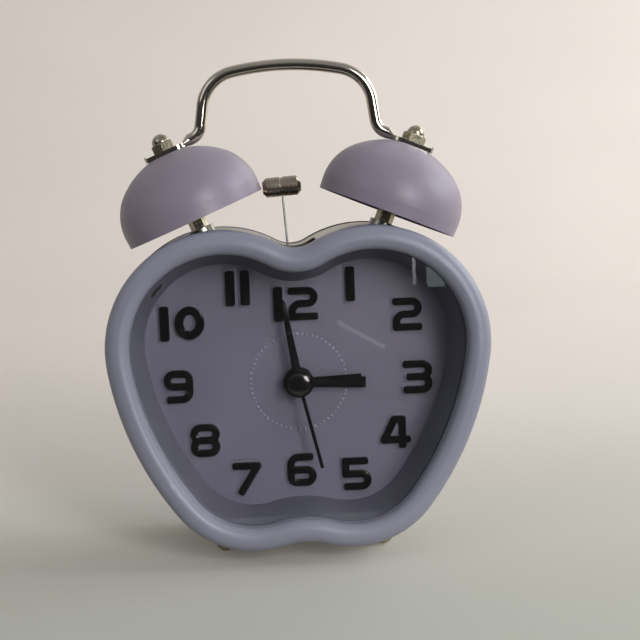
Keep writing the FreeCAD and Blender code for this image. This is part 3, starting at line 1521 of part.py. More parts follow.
def minute_hand():
    return hand(minute_hand_length, minute_hand_root, minute_hand_end, minute_hub_radius,
                cannon_pipe + running_gap / 5, minute_hand_angle, minute_hand_y, True)


def second_hand():
    """Thin hand with a short tail and a domed cap, pressed on the arbor."""
    y = second_hand_y
    half = second_hand_width / 2
    body = block(-half, half, y, y + hand_thickness, -second_tail_length, second_hand_length - half)
    body = body.fuse(disc((0, second_hand_length - half), half, y, y + hand_thickness))
    cap = turned([(0, 0), (second_hub_radius, 0), (second_hub_radius, 0.5 * second_hub_height),
                  (0.88 * second_hub_radius, 0.78 * second_hub_height),
                  (0.62 * second_hub_radius, 0.94 * second_hub_height), (0, second_hub_height)],
                 V(0, y + hand_thickness, 0), V(0, -1, 0))
    body = body.fuse(cap).cut(disc((0, 0), second_arbor + running_gap / 5, y, y + 2))
    body.rotate(V(0, 0, 0), V(0, 1, 0), second_hand_angle)
    return body


def alarm_hand():
    return hand(alarm_hand_length, alarm_hand_root, alarm_hand_end, alarm_hub_radius,
                alarm_pipe + running_gap / 5, alarm_hand_angle, alarm_hand_y)


# Controls on the back

def set_knob(centre):
    """Ribbed knob with a skirt-free stem that passes through the cover."""
    front = knob_front
    grip = disc(centre, knob_radius, front, front + knob_height)
    grip = soften(grip, 0.8, lambda box: box.YMin > front + knob_height - 0.01)
    for i in range(knob_ribs):
        place = polar(centre, knob_radius + 0.5, 360.0 / knob_ribs * i)
        flute = disc(place, 0.95, front - 1, front + knob_height + 1)
        grip = grip.cut(flute)
    stem = disc(centre, key_hub_radius, movement_back + 0.6, front)
    body = grip.fuse(stem)
    return body.cut(disc(centre, key_arbor_radius + running_gap / 5, movement_back, knob_seat + 0.2))


def alarm_switch_body():
    """Fixed switch case behind the cover."""
    back = band_back
    body = block(switch_x - 3.2, switch_x + 3.2, back - 4.2, back, switch_z - 6.5, switch_z + 6.5)
    body = body.cut(block(switch_x - 1.7, switch_x + 1.7, back - 3.0, back + 1,
                          switch_z - switch_travel / 2 - 2.2, switch_z + switch_travel / 2 + 2.2))
    return body


def alarm_switch_slider():
    """Ribbed cap on a stem that runs up and down in the cover's slot."""
    low = switch_z - switch_travel / 2
    stem = block(switch_x - 1.4, switch_x + 1.4, band_back - 2.6, cover_back + 0.4, low - 1.8, low + 1.8)
    cap = block(switch_x - 2.6, switch_x + 2.6, cover_back + 0.4, cover_back + 2.0, low - 2.6, low + 2.6)
    for i in range(-1, 2):
        cut = block(switch_x - 3, switch_x + 3, cover_back + 1.5, cover_back + 3, low + i * 1.5 - 0.35,
                    low + i * 1.5 + 0.35)
        cap = cap.cut(cut)
    return stem.fuse(cap)


def light_button():
    """Round key with a retaining flange behind the cover."""
    centre = (button_x, button_z)
    key = disc(centre, button_radius, band_back - button_flange_depth, cover_back + button_rise)
    key = soften(key, 0.8, lambda box: box.YMin > cover_back + button_rise - 0.01)
    flange = disc(centre, button_radius + 1.2, band_back - button_flange_depth, band_back - 0.3)
    return key.fuse(flange)


def button_switch():
    """Push switch on a small board with two stand-offs to the cover."""
    plunger_back = band_back - button_flange_depth - button_travel - 0.3
    board_back = plunger_back - 4.5
    x, z = button_x, button_z
    body = block(x - 3, x + 3, board_back, plunger_back - 0.8, z - 3, z + 3)
    body = body.fuse(disc((x, z), 1.6, plunger_back - 0.8, plunger_back))
    body = body.fuse(block(x - 4.5, x + 4.5, board_back - 1.0, board_back, z - 9, z + 9))
    for level in (z - 7.5, z + 7.5):
        body = body.fuse(disc((x, level), 1.3, board_back, band_back))
    return body


# Battery, contacts and door

battery_y = bay_floor + battery_radius + bay_clearance / 2


def aa_battery():
    """Cell lying across the bay with its cap to the right."""
    shift = (contact_space - battery_cap_length) / 2
    left = -battery_length / 2 + shift
    foot = V(left, battery_y, battery_z)
    body = Part.makeCylinder(battery_radius, battery_length - battery_cap_length, foot, V(1, 0, 0))
    body = soften(body, 0.5, lambda box: box.XLength < 0.1)
    cap = Part.makeCylinder(battery_cap_radius, battery_cap_length,
                            V(left + battery_length - battery_cap_length, battery_y, battery_z), V(1, 0, 0))
    return body.fuse(cap)


def positive_contact():
    """Plate that the cell's cap touches."""
    shift = (contact_space - battery_cap_length) / 2
    face = battery_length / 2 + shift + 0.1
    wall = bay_half_width
    plate = block(face, face + 0.4, battery_y - 5, battery_y + 5, battery_z - 5, battery_z + 5)
    foot = block(face + 0.4, wall - 0.05, battery_y - 5, battery_y - 4.6, battery_z - 3, battery_z + 3)
    return plate.fuse(foot)


def negative_contact():
    """Plate with a conical spring that presses on the cell's flat end."""
    shift = (contact_space - battery_cap_length) / 2
    wall = -bay_half_width + 0.05
    end = -battery_length / 2 + shift - 0.1
    turns = 3
    wire = 0.35
    rise = end - wire - (wall + 0.4 + wire)
    plate = block(wall, wall + 0.4, battery_y - 5, battery_y + 5, battery_z - 5, battery_z + 5)
    helix = Part.makeHelix(rise / turns, rise, 4.0, -12)
    section = Part.Wire(Part.makeCircle(wire, V(4.0, 0, 0), V(0, 1, 0)))
    spring = Part.Wire(helix.Edges).makePipeShell([section], True, True)
    spring.Placement = FreeCAD.Placement(
        V(wall + 0.4 + wire * 0.6, battery_y, battery_z), FreeCAD.Rotation(V(0, 0, 1), V(1, 0, 0)))
    return plate.fuse(spring)


def door_pins(radius, play):
    """Pins on both ends of the door's lower edge; with play, the holes they turn in."""
    half = door_half_width + door_pin_reach + play
    start = V(-half, cover_back - door_thickness / 2, door_bottom + door_thickness / 2)
    return Part.makeCylinder(radius, 2 * half, start, V(1, 0, 0))


def battery_door():
    """Flush lid with a ribbed thumb recess and a catch, turning on pins at its lower edge."""
    front = cover_back - door_thickness
    body = block(-door_half_width, door_half_width, front, cover_back, door_bottom, door_top)
    body = soften(body, door_thickness / 2 - 0.01,
                  lambda box: box.ZMax < door_bottom + 0.01 and box.XLength > door_half_width)
    for i in range(5):
        z = door_top - 2.2 - i * 1.2
        body = body.cut(block(-6, 6, cover_back - 0.5, cover_back + 1, z - 0.3, z + 0.3))
    catch = block(-4, 4, front - 1.0, front, door_top - bay_wall - 1.6, door_top - bay_wall - 0.4)
    return body.fuse(catch).fuse(door_pins(door_pin_radius, 0))


# Feet and lamp

def tip_centre(side):
    """Centre of a foot's round tip."""
    base, out = foot_frame(side)
    return base + out * (foot_length + fit_gap - foot_radius)


def front_foot(side):
    """Turned foot with a round tip and a stud that passes into the case."""
    base, out = foot_frame(side)
    start = base + out * fit_gap
    body = Part.makeCylinder(foot_radius, foot_length - foot_radius, start, out)
    body = body.fuse(Part.makeSphere(foot_radius, tip_centre(side), out))
    above = Part.makeCylinder(foot_radius * 2, foot_radius * 2, start, out * -1)
    body = body.cut(above)
    stud = Part.makeCylinder(foot_stud_radius, 6.0 + fit_gap, start - out * 6.0, out)
    return body.fuse(stud).removeSplitter()


def foot_nuts():
    """Nuts that hold the feet from inside the case."""
    nuts = []
    for side in (-1, 1):
        base, out = foot_frame(side)
        start = base - out * (band_thickness + 0.35)
        nut = hexagon(5.5, start, out * -1, 2.4)
        nuts.append(nut.cut(Part.makeCylinder(foot_stud_radius + running_gap, 6, start + out, out * -1)))
    return nuts


def night_lamp():
    """Small clear lamp in the window of the well's wall."""
    place = lamp_place()
    middle = (crystal_back + dial_front) / 2
    direction = lamp_direction()
    tip = V(place[0], middle, place[1]) - direction * 0.6
    body = Part.makeSphere(lamp_radius, tip - direction * lamp_radius, direction)
    body = body.fuse(Part.makeCylinder(lamp_radius, 3.4, tip - direction * (lamp_radius + 3.4), direction))
    rim = Part.makeCylinder(lamp_radius + 0.4, 0.9, tip - direction * (lamp_radius + 3.4), direction)
    return body.fuse(rim)


# Stand: lean the clock back until both feet and the cover's lower edge reach the floor

def lean_angle():
    tip = tip_centre(1)
    round_radius = cover_edge_round
    edge_y = cover_back - round_radius
    edge_z = lobe_z - lobe_radius + round_radius
    a = edge_y - tip.y
    b = tip.z - edge_z
    d = (foot_radius - foot_flat) - round_radius
    return math.degrees(math.atan2(a, b) - math.acos(d / math.hypot(a, b)))


def stand(shapes):
    """Placement that leans the clock back and sets it down over the origin."""
    rotation = FreeCAD.Rotation(V(1, 0, 0), -lean_angle())
    tip = rotation.multVec(tip_centre(1))
    turned_placement = FreeCAD.Placement(V(0, 0, 0), rotation)
    low, high = 1e9, -1e9
    for shape in shapes:
        box = shape.transformed(turned_placement.toMatrix(), True).optimalBoundingBox(False, False)
        low = min(low, box.YMin)
        high = max(high, box.YMax)
    return FreeCAD.Placement(V(0, -(low + high) / 2, foot_radius - foot_flat - tip.z), rotation)


def clock_pieces():
    """Every piece of the clock, upright, by name."""
    return {
        "front_bezel": front_bezel(),
        "crystal_lens": crystal_lens(),
        "dial_surround": dial_surround(),
        "dial_plate": dial_plate(),
        "hour_numerals": hour_numerals(),
        "night_lamp": night_lamp(),
        "case_band": case_band(),
        "rear_cover": rear_cover(),
        "cover_screws": cover_screws(),
        "flange_screws": flange_screws(),
        "bell_left": bell(-1),
        "bell_right": bell(1),
        "bell_post_left": bell_post(-1),
        "bell_post_right": bell_post(1),
        "post_washers": post_washers(),
        "post_nuts": post_nuts(),
        "acorn_nuts": acorn_nuts(),
        "carry_handle": carry_handle(),
        "front_foot_left": front_foot(-1),
        "front_foot_right": front_foot(1),
        "foot_nuts": foot_nuts(),
        "hammer_head": hammer_head(),
        "hammer_wire": hammer_wire(),
        "hammer_lever": hammer_lever(),
        "hammer_pivot_pin": pivot_pin(),
        "motor_bracket": motor_bracket(),
        "alarm_motor": alarm_motor(),
        "motor_shaft": motor_shaft(),
        "striker_eccentric": striker_eccentric(),
        "movement_front_housing": movement_front_housing(),
        "movement_back_housing": movement_back_housing(),
        "movement_screws": movement_screws(),
        "train_bridge": train_bridge(),
        "circuit_board": circuit_board(),
        "coil": coil(),
        "stator": stator(),
        "rotor": rotor(),
        "intermediate_wheel": intermediate_wheel(),
        "second_wheel": second_wheel(),
        "third_wheel": third_wheel(),
        "centre_wheel": centre_wheel(),
        "cannon_pinion": cannon_pinion(),
        "minute_wheel": minute_wheel(),
        "hour_wheel": hour_wheel(),
        "alarm_wheel": alarm_wheel(),
        "alarm_setting_pinion": alarm_setting_pinion(),
        "hour_hand": hour_hand(),
        "minute_hand": minute_hand(),
        "second_hand": second_hand(),
        "alarm_hand": alarm_hand(),
        "time_set_knob": set_knob(MINUTE_AXIS),
        "alarm_set_knob": set_knob(ALARM_AXIS),
        "alarm_switch_body": alarm_switch_body(),
        "alarm_switch_slider": alarm_switch_slider(),
        "light_button": light_button(),
        "button_switch": button_switch(),
        "aa_battery": aa_battery(),
        "positive_contact": positive_contact(),
        "negative_contact": negative_contact(),
        "battery_door": battery_door(),
    }


def main():
    os.makedirs("parts", exist_ok=True)
    pieces = clock_pieces()
    shapes = [s for piece in pieces.values() for s in (piece if isinstance(piece, list) else [piece])]
    placement = stand(shapes)
    floor = Part.makeBox(400, 400, 20, V(-200, -200, -20))
    for name, piece in pieces.items():
        shape = Part.makeCompound(piece) if isinstance(piece, list) else piece
        shape = shape.transformed(placement.toMatrix(), True)
        if name.startswith("front_foot"):
            shape = shape.cut(floor)
        shape.exportStep("parts/" + name + ".step")
    print("lean", round(lean_angle(), 3), "pieces", len(pieces))


main()
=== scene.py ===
# %% [markdown]
# # A twin bell alarm clock with an apple shaped case
#
# The clock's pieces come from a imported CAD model, so every shell, screw and wheel is already at its
# real size and place. This lesson gives each of them the finish of the real thing, adds two fine
# pieces that are quicker to model as a mesh, and then sets up a floor, soft light and a camera.
# Everything is in metres, in the model's own frame.

# %% Load the clock
import json
import math

import bpy
from mathutils import Matrix, Quaternion, Vector


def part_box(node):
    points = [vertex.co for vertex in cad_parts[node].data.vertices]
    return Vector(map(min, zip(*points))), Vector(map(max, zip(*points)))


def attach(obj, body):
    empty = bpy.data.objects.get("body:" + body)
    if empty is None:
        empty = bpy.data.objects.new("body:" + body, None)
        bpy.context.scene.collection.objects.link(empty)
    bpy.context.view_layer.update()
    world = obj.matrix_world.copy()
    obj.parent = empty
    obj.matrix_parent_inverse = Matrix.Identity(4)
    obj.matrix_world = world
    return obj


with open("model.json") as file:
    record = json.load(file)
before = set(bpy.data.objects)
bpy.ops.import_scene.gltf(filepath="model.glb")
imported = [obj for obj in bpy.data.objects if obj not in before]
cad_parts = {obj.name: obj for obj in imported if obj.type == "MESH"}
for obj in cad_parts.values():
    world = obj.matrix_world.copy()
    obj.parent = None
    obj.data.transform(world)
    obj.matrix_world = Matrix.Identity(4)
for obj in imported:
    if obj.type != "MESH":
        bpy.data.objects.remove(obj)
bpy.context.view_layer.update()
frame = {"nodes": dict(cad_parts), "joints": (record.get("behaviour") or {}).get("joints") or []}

nodes = frame["nodes"]
print("pieces from the model:", len(nodes))

# %% [markdown]
# ## The clock's own directions
#
# The case leans back on its feet, so "up the dial" is not quite the world's up. Fine detail is easier
# to place in directions that lean with the dial. The minute hand turns about the dial's axis, so its
# joint gives that axis, and a point on it. Measuring them from the joint keeps this script right if
# the clock is ever made to lean more or less.

# %% Find the dial's directions
MM = 0.001
joints = {joint["name"]: joint for joint in frame["joints"]}
into_dial = Vector(joints["minute_hand_spin"]["axis"]).normalized()
across_dial = Vector((1, 0, 0))
up_dial = across_dial.cross(into_dial).normalized()
joint_depth = 20.0
dial_origin = Vector(joints["minute_hand_spin"]["pos_m"]) - into_dial * joint_depth * MM


def on_clock(x, y, z):
    """Place of a point in mm: right of the dial's centre, behind the bezel's front, up the dial."""
    return dial_origin + (across_dial * x + into_dial * y + up_dial * z) * MM


lean = math.degrees(math.asin(-into_dial.z))
print("the case leans back by", round(lean, 2), "degrees")

# %% [markdown]
# ## Tools for finishes
#
# A finish is a small graph of nodes. Colours are read as the hex values of a paint chart and turned
# to linear light, because shaders count in linear light. Patterns are placed on Object coordinates,
# which are in metres here, so a pattern's scale is one over its real size.

# %% Colour and node helpers
def linear(code):
    """Linear colour for a hex value such as 8A8A9C."""
    parts = [int(code[i:i + 2], 16) / 255 for i in (0, 2, 4)]
    parts = [p / 12.92 if p <= 0.04045 else ((p + 0.055) / 1.055) ** 2.4 for p in parts]
    return (*parts, 1.0)


def per_mm(size):
    """Texture scale for a pattern whose features are about this many millimetres apart."""
    return 1.0 / (size * MM)


def add(tree, kind, inputs=None, **settings):
    """Adds a node, sets its settings, and links or sets its inputs."""
    made = tree.nodes.new(kind)
    for name, value in settings.items():
        setattr(made, name, value)
    for name, value in (inputs or {}).items():
        if isinstance(value, bpy.types.NodeSocket):
            tree.links.new(value, made.inputs[name])
        else:
            made.inputs[name].default_value = value
    return made


def finish(name, sockets):
    """New material with its node tree and shader; constant values go on the shader's own sockets."""
    material = bpy.data.materials.new(name)
    material.use_nodes = True
    tree = material.node_tree
    shader = tree.nodes["Principled BSDF"]
    for socket, value in sockets.items():
        shader.inputs[socket].default_value = value
    return material, tree, shader


def surface(name, sockets, tones, tone_mm, roughness, grain_mm, depth_mm,
            stretch=(1, 1, 1), edge_mm=0.15):
    """Finish that drifts between two tones, with grain in its roughness and relief, and eased edges."""
    material, tree, shader = finish(name, sockets)
    here = add(tree, "ShaderNodeTexCoord").outputs["Object"]
    drift = add(tree, "ShaderNodeTexNoise", {"Vector": here, "Scale": per_mm(tone_mm), "Detail": 2.0})
    ramp = add(tree, "ShaderNodeValToRGB", {"Fac": drift.outputs["Fac"]})
    for element, place, code in zip(ramp.color_ramp.elements, (0.35, 0.65), tones):
        element.position = place
        element.color = linear(code)
    along = add(tree, "ShaderNodeMapping", {"Vector": here, "Scale": stretch})
    grain = add(tree, "ShaderNodeTexNoise", {
        "Vector": along.outputs["Vector"], "Scale": per_mm(grain_mm), "Detail": 3.0,
    })
    rough = add(tree, "ShaderNodeMapRange", {
        "Value": grain.outputs["Fac"], "From Min": 0.3, "From Max": 0.7,
        "To Min": roughness[0], "To Max": roughness[1],
    })
    eased = add(tree, "ShaderNodeBevel", {"Radius": edge_mm * MM}, samples=4)
    bump = add(tree, "ShaderNodeBump", {
        "Height": grain.outputs["Fac"], "Distance": depth_mm * MM, "Normal": eased.outputs["Normal"],
    })
    tree.links.new(ramp.outputs["Color"], shader.inputs["Base Color"])
    tree.links.new(rough.outputs["Result"], shader.inputs["Roughness"])
    tree.links.new(bump.outputs["Normal"], shader.inputs["Normal"])
    print(name, "grain", grain_mm, "mm, relief", depth_mm, "mm")
    return material


# %% [markdown]
# ## Lilac moulded plastic
#
# The bezel, the back cover, the battery door and the light button are moulded ABS. The mould is
# lightly etched, so the surface is satin: a broad soft highlight and no mirror image. Real etching is
# about 0.1 mm, too fine to show from here, so it is drawn at 0.7 mm and very shallow. A slow change of
# tone over some centimetres keeps the large plain shapes from looking like paper. The dial and the
# wall around it are the same plastic, flatter, and drawn in deeper tones that paint the recess's shade.
# The beads on the dial are polished in the mould, so they are smoother; their paler tone is painted
# highlight.

# %% Lilac ABS
lilac_abs = surface("lilac_etched_abs", {"IOR": 1.53}, ("828290", "898998"), 38,
                    (0.36, 0.45), 0.7, 0.012)
# The dial's and the well's deeper tones are painted shade of the recess; the plastic is the bezel's.
lilac_dial_painted_shade = surface("lilac_matt_dial_abs_painted_shade", {"IOR": 1.53}, ("565264", "5B5769"), 30,
                     (0.44, 0.54), 0.7, 0.008)
lilac_well_painted_shade = surface("lilac_matt_well_abs_painted_shade", {"IOR": 1.53}, ("525260", "575765"), 30,
                     (0.46, 0.56), 0.7, 0.008)

# %% Polished beads on the dial
# The beads' paler tone than the dial's is a painted highlight of their polished tops.
bead_abs_painted_highlight = surface("polished_bead_abs_painted_highlight", {"IOR": 1.53}, ("7D7A8C", "828092"), 30, (0.22, 0.3), 0.7, 0.004)

# %% [markdown]
# ## Painted bells
#
# The bells are spun steel, sprayed with a soft matt lacquer in the case's colour, a little pinker.
# Sprayed paint has orange peel: gentle bumps a millimetre or so apart. Matt lacquer also catches light
# at grazing angles, which a little sheen gives. The colour changes slightly where the spray was thin.

# %% Matt lacquer
bell_paint = surface("matt_lilac_lacquer", {"IOR": 1.5, "Sheen Weight": 0.1, "Sheen Roughness": 0.4},
                     ("887D8B", "8F8492"), 26, (0.38, 0.48), 1.1, 0.012)

# %% [markdown]
# ## Black parts
#
# The numbers are glossy polystyrene, glued to the dial. The hands are thin aluminium with gloss
# enamel, so they mirror the window like piano lacquer, over a very slight waviness from rolling.
# Knobs, the switch and the movement's housing are ordinary matt black ABS. The plug round the small
# lamp is rubber, blacker and duller; its black paints the shade inside the case behind the lamp's window.

# %% Gloss and matt black
black_gloss = surface("gloss_black_polystyrene", {"IOR": 1.59}, ("0A0707", "0F0B0B"), 9,
                      (0.06, 0.12), 3.0, 0.006, edge_mm=0.45)
hand_enamel = surface("black_enamel_on_aluminium", {"IOR": 1.5, "Coat Weight": 0.6, "Coat Roughness": 0.06},
                      ("0A0808", "0F0C0B"), 12, (0.08, 0.16), 4.0, 0.008, edge_mm=0.3)
black_abs = surface("matt_black_abs", {"IOR": 1.53}, ("18181A", "1F1F22"), 14, (0.42, 0.58), 0.35, 0.015)

# %% Rubber of the lamp's plug, whose black is painted shade
# The plug's near-black stands in for the shade inside the case behind the window.
black_rubber_painted_shade = surface("black_rubber_painted_shade", {"IOR": 1.52}, ("0E0E0F", "141415"), 6, (0.6, 0.75), 0.5, 0.01)

# %% [markdown]
# ## Metals
#
# The handle is steel wire under bright chrome. Nuts, posts and feet are nickel plate, which is
# warmer and a little cloudy. The case band is a nickel plated strip, brushed along its length. The
# hammer's head is turned steel with a dark nickel finish, and turning leaves fine rings round its
# axis, so its grain is stretched across. A metal has its colour in its reflection, so these have
# metallic at 1 and the default IOR. Inside are zinc plated steel and turned brass. The rotor's magnet
# is pressed ferrite, a grey ceramic and no metal to the eye.

# %% Plated metals
chrome = surface("bright_chrome_plate", {"Metallic": 1.0}, ("BCB3A5", "CBC2B4"), 20,
                 (0.07, 0.15), 3.0, 0.006)
nickel = surface("warm_nickel_plate", {"Metallic": 1.0}, ("9A927C", "ADA591"), 5,
                 (0.2, 0.32), 1.5, 0.002)
nickel_strip = surface("brushed_nickel_strip", {"Metallic": 1.0}, ("98948C", "A09C94"), 12,
                       (0.24, 0.4), 0.35, 0.006, stretch=(0.03, 1.0, 0.03))
dark_nickel = surface("turned_dark_nickel", {"Metallic": 1.0}, ("9A8F80", "ADA292"), 4,
                      (0.24, 0.32), 0.5, 0.0008, stretch=(1.0, 0.05, 0.05), edge_mm=0.3)

# %% Steel, brass and the rotor's magnet
steel = surface("zinc_plated_steel", {"Metallic": 1.0}, ("9C9C9B", "B4B4B2"), 3, (0.24, 0.42), 0.6, 0.008)
brass = surface("turned_brass", {"Metallic": 1.0}, ("B08D4B", "C7A45C"), 2,
                (0.18, 0.32), 0.4, 0.006, stretch=(1, 0.1, 1))
ferrite = surface("pressed_ferrite", {}, ("2E2C2B", "45423F"), 1.5, (0.5, 0.7), 0.4, 0.02)

# %% [markdown]
# ## Movement materials
#
# Inside the housing the wheels are white acetal, slippery and slightly translucent, the board is
# glass fibre under green mask, and the coil is fine enamelled wire laid turn beside turn. They show
# only when the clock is opened, but a reusable part should look right there too.

# %% Acetal and the board
acetal = surface("natural_acetal", {"IOR": 1.48, "Subsurface Weight": 0.15, "Subsurface Scale": 0.4 * MM},
                 ("DEDBCF", "E8E6DC"), 6, (0.32, 0.45), 0.5, 0.004)
board = surface("green_mask_on_glass_fibre", {"IOR": 1.55}, ("1C5A35", "23683E"), 1.5,
                (0.22, 0.34), 0.6, 0.01)

# %% Coil of enamelled wire
copper, tree, shader = finish("enamelled_copper_wire", {"Metallic": 1.0, "Roughness": 0.25})
here = add(tree, "ShaderNodeTexCoord").outputs["Object"]
turn_mm = 0.25
turns = add(tree, "ShaderNodeTexWave", {"Vector": here, "Scale": per_mm(turn_mm) / (2 * math.pi)},
            wave_type="BANDS", bands_direction="Z")
# The bands paint the copper darker in the grooves between turns, a painted shade, and brighter on the
# turns, a painted highlight.
ramp = add(tree, "ShaderNodeValToRGB", {"Fac": turns.outputs["Fac"]})
ramp.color_ramp.elements[0].color = linear("8A3F1C")
ramp.color_ramp.elements[1].color = linear("C2703C")
bump = add(tree, "ShaderNodeBump", {"Height": turns.outputs["Fac"], "Distance": 0.05 * MM})
tree.links.new(ramp.outputs["Color"], shader.inputs["Base Color"])
tree.links.new(bump.outputs["Normal"], shader.inputs["Normal"])
print("wire turns every", turn_mm, "mm")

# %% Battery film and its bare cap
sleeve, tree, shader = finish("battery_film", {"Roughness": 0.3, "IOR": 1.5})
here = add(tree, "ShaderNodeTexCoord").outputs["Object"]
lengthwise = add(tree, "ShaderNodeSeparateXYZ", {"Vector": here}).outputs["X"]
cap_length = 1.6
cap_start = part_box("aa_battery")[1].x - cap_length * MM
bare = add(tree, "ShaderNodeMath", {0: lengthwise, 1: cap_start}, operation="GREATER_THAN").outputs["Value"]
ramp = add(tree, "ShaderNodeValToRGB", {"Fac": bare})
ramp.color_ramp.elements[0].color = linear("2E3136")
ramp.color_ramp.elements[1].color = linear("B9B7B1")
tree.links.new(ramp.outputs["Color"], shader.inputs["Base Color"])
tree.links.new(bare, shader.inputs["Metallic"])
print("bare cap from x =", round(cap_start * 1000, 1), "mm")

# %% [markdown]
# ## Clear acrylic and the lamp
#
# The crystal is a flat pane of cast acrylic. It bends light like the real thing, with an IOR of 1.49.
# A ray tracer would make it cast the dark shadow of a solid, though, because light that is bent on its
# way to a lamp is hard to find. So for shadow rays alone the pane lets the light straight through.
# A pane that was wiped is never evenly clear, so a faint haze comes and goes over some centimetres.
# The small lamp is clear epoxy, cast round its chip.

# %% Clear plastics
def clear(name, code, ior, haze, shade):
    """Clear plastic that casts a pale shadow of its own colour."""
    material, tree, shader = finish(name, {
        "Base Color": linear(code), "IOR": ior, "Transmission Weight": 1.0,
    })
    here = add(tree, "ShaderNodeTexCoord").outputs["Object"]
    wipe_mm = 14
    wiped = add(tree, "ShaderNodeTexNoise", {"Vector": here, "Scale": per_mm(wipe_mm), "Detail": 3.0})
    rough = add(tree, "ShaderNodeMapRange", {
        "Value": wiped.outputs["Fac"], "From Min": 0.3, "From Max": 0.7,
        "To Min": haze, "To Max": haze + 0.02,
    })
    through = add(tree, "ShaderNodeBsdfTransparent", {"Color": linear(shade)})
    path = add(tree, "ShaderNodeLightPath")
    choice = add(tree, "ShaderNodeMixShader", {
        0: path.outputs["Is Shadow Ray"], 1: shader.outputs["BSDF"], 2: through.outputs["BSDF"],
    })
    tree.links.new(rough.outputs["Result"], shader.inputs["Roughness"])
    tree.links.new(choice.outputs["Shader"], tree.nodes["Material Output"].inputs["Surface"])
    print(name, "IOR", ior)
    return material


acrylic = clear("cast_clear_acrylic", "F7F7F5", 1.49, 0.0, "F2F2F0")
lamp_epoxy = clear("clear_lamp_epoxy", "E4EADB", 1.55, 0.05, "D8DED0")

# %% [markdown]
# ## Give every piece its finish
#
# Each piece of the model has one material slot. The table below says which finish each piece really
# has, in groups, as a parts list would. The meshes themselves stay as they are.

# %% Assign the finishes
finish_groups = {
    lilac_abs: ["front_bezel", "rear_cover", "battery_door", "light_button"],
    lilac_well_painted_shade: ["dial_surround"],
    lilac_dial_painted_shade: ["dial_plate"],
    bell_paint: ["bell_left", "bell_right"],
    black_gloss: ["hour_numerals"],
    hand_enamel: ["hour_hand", "minute_hand", "second_hand", "alarm_hand"],
    black_abs: ["movement_front_housing", "movement_back_housing", "time_set_knob", "alarm_set_knob",
                "alarm_switch_body", "alarm_switch_slider", "button_switch"],
    acrylic: ["crystal_lens"],
    lamp_epoxy: ["night_lamp"],
    chrome: ["carry_handle"],
    nickel: ["acorn_nuts", "bell_post_left", "bell_post_right", "post_nuts", "front_foot_left",
             "front_foot_right", "foot_nuts", "cover_screws", "positive_contact"],
    nickel_strip: ["case_band"],
    dark_nickel: ["hammer_head"],
    steel: ["flange_screws", "post_washers", "hammer_wire", "hammer_pivot_pin", "motor_bracket",
            "alarm_motor", "motor_shaft", "movement_screws", "stator", "negative_contact"],
    brass: ["striker_eccentric"],
    acetal: ["hammer_lever", "train_bridge", "intermediate_wheel", "second_wheel", "third_wheel",
             "centre_wheel", "cannon_pinion", "minute_wheel", "hour_wheel", "alarm_wheel",
             "alarm_setting_pinion"],
    ferrite: ["rotor"],
    board: ["circuit_board"],
    copper: ["coil"],
    sleeve: ["aa_battery"],
}
for material, names in finish_groups.items():
    for name in names:
        nodes[name].material_slots[0].material = material
missed = sorted(set(nodes) - {name for names in finish_groups.values() for name in names})
print("pieces without a finish:", missed)

# %% [markdown]
# ## Ring of beads
#
# Around the hands' centre the dial is moulded with a ring of sixty small raised beads, one for each
# minute. They could be a bump in the dial's finish, but then they would have no edge and no shadow, so
# they are real domes. One ball is cut in half just behind the dial's face, and then spun round the
# dial's axis in copies. The ring is made upright about the world's origin, where sizes are easy to read,
# and then set on the dial.

# %% Beads on the dial
def select_nothing():
    """Deselects every object, because an operator acts on all that is selected."""
    if bpy.context.object and bpy.context.object.mode != "OBJECT":
        bpy.ops.object.mode_set(mode="OBJECT")
    bpy.ops.object.select_all(action="DESELECT")


clock_frame = Matrix((across_dial, into_dial, up_dial)).transposed().to_4x4()
clock_frame.translation = dial_origin
dial_depth = 16.8
bead_root = 0.05
bead_count = 60
bead_radius = 0.5
bead_ring_radius = 16.2

select_nothing()
bpy.ops.mesh.primitive_uv_sphere_add(segments=12, ring_count=8, radius=bead_radius * MM,
                                     location=(0, dial_depth * MM, bead_ring_radius * MM))
beads = bpy.context.object
beads.name = "minute_beads"
bpy.ops.object.transform_apply(location=True, rotation=False, scale=False)
bpy.ops.object.mode_set(mode="EDIT")
bpy.ops.mesh.select_all(action="SELECT")
bpy.ops.mesh.bisect(plane_co=(0, (dial_depth + bead_root) * MM, 0), plane_no=(0, 1, 0),
                    use_fill=True, clear_outer=True)
bpy.ops.mesh.select_all(action="SELECT")
whole_turn = 2 * math.pi
bpy.ops.mesh.spin(steps=bead_count - 1, dupli=True, angle=whole_turn * (bead_count - 1) / bead_count,
                  center=(0, dial_depth * MM, 0), axis=(0, 1, 0))
bpy.ops.mesh.select_all(action="SELECT")
bpy.ops.mesh.normals_make_consistent(inside=False)
bpy.ops.object.mode_set(mode="OBJECT")
beads.matrix_world = clock_frame
bpy.ops.object.transform_apply()
bpy.ops.object.shade_smooth_by_angle(angle=math.radians(50))
beads.data.materials.append(bead_abs_painted_highlight)
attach(beads, "case")
print("bead faces:", len(beads.data.polygons), "ring", round(beads.dimensions.x * 1000, 1), "mm wide")

# %% [markdown]
# ## The night light's plug
#
# The small lamp looks out through an oblong window in the well's left wall. A black rubber plug round
# the lamp fills the window; its black paints the shade inside the case, so the window looks dark round
# the lamp's clear tip. The plug is a block along the lamp, which leans forward, and a bisect trims its
# end flush with the sloping wall. A boolean drills the bore, and a bevel rounds the rims.

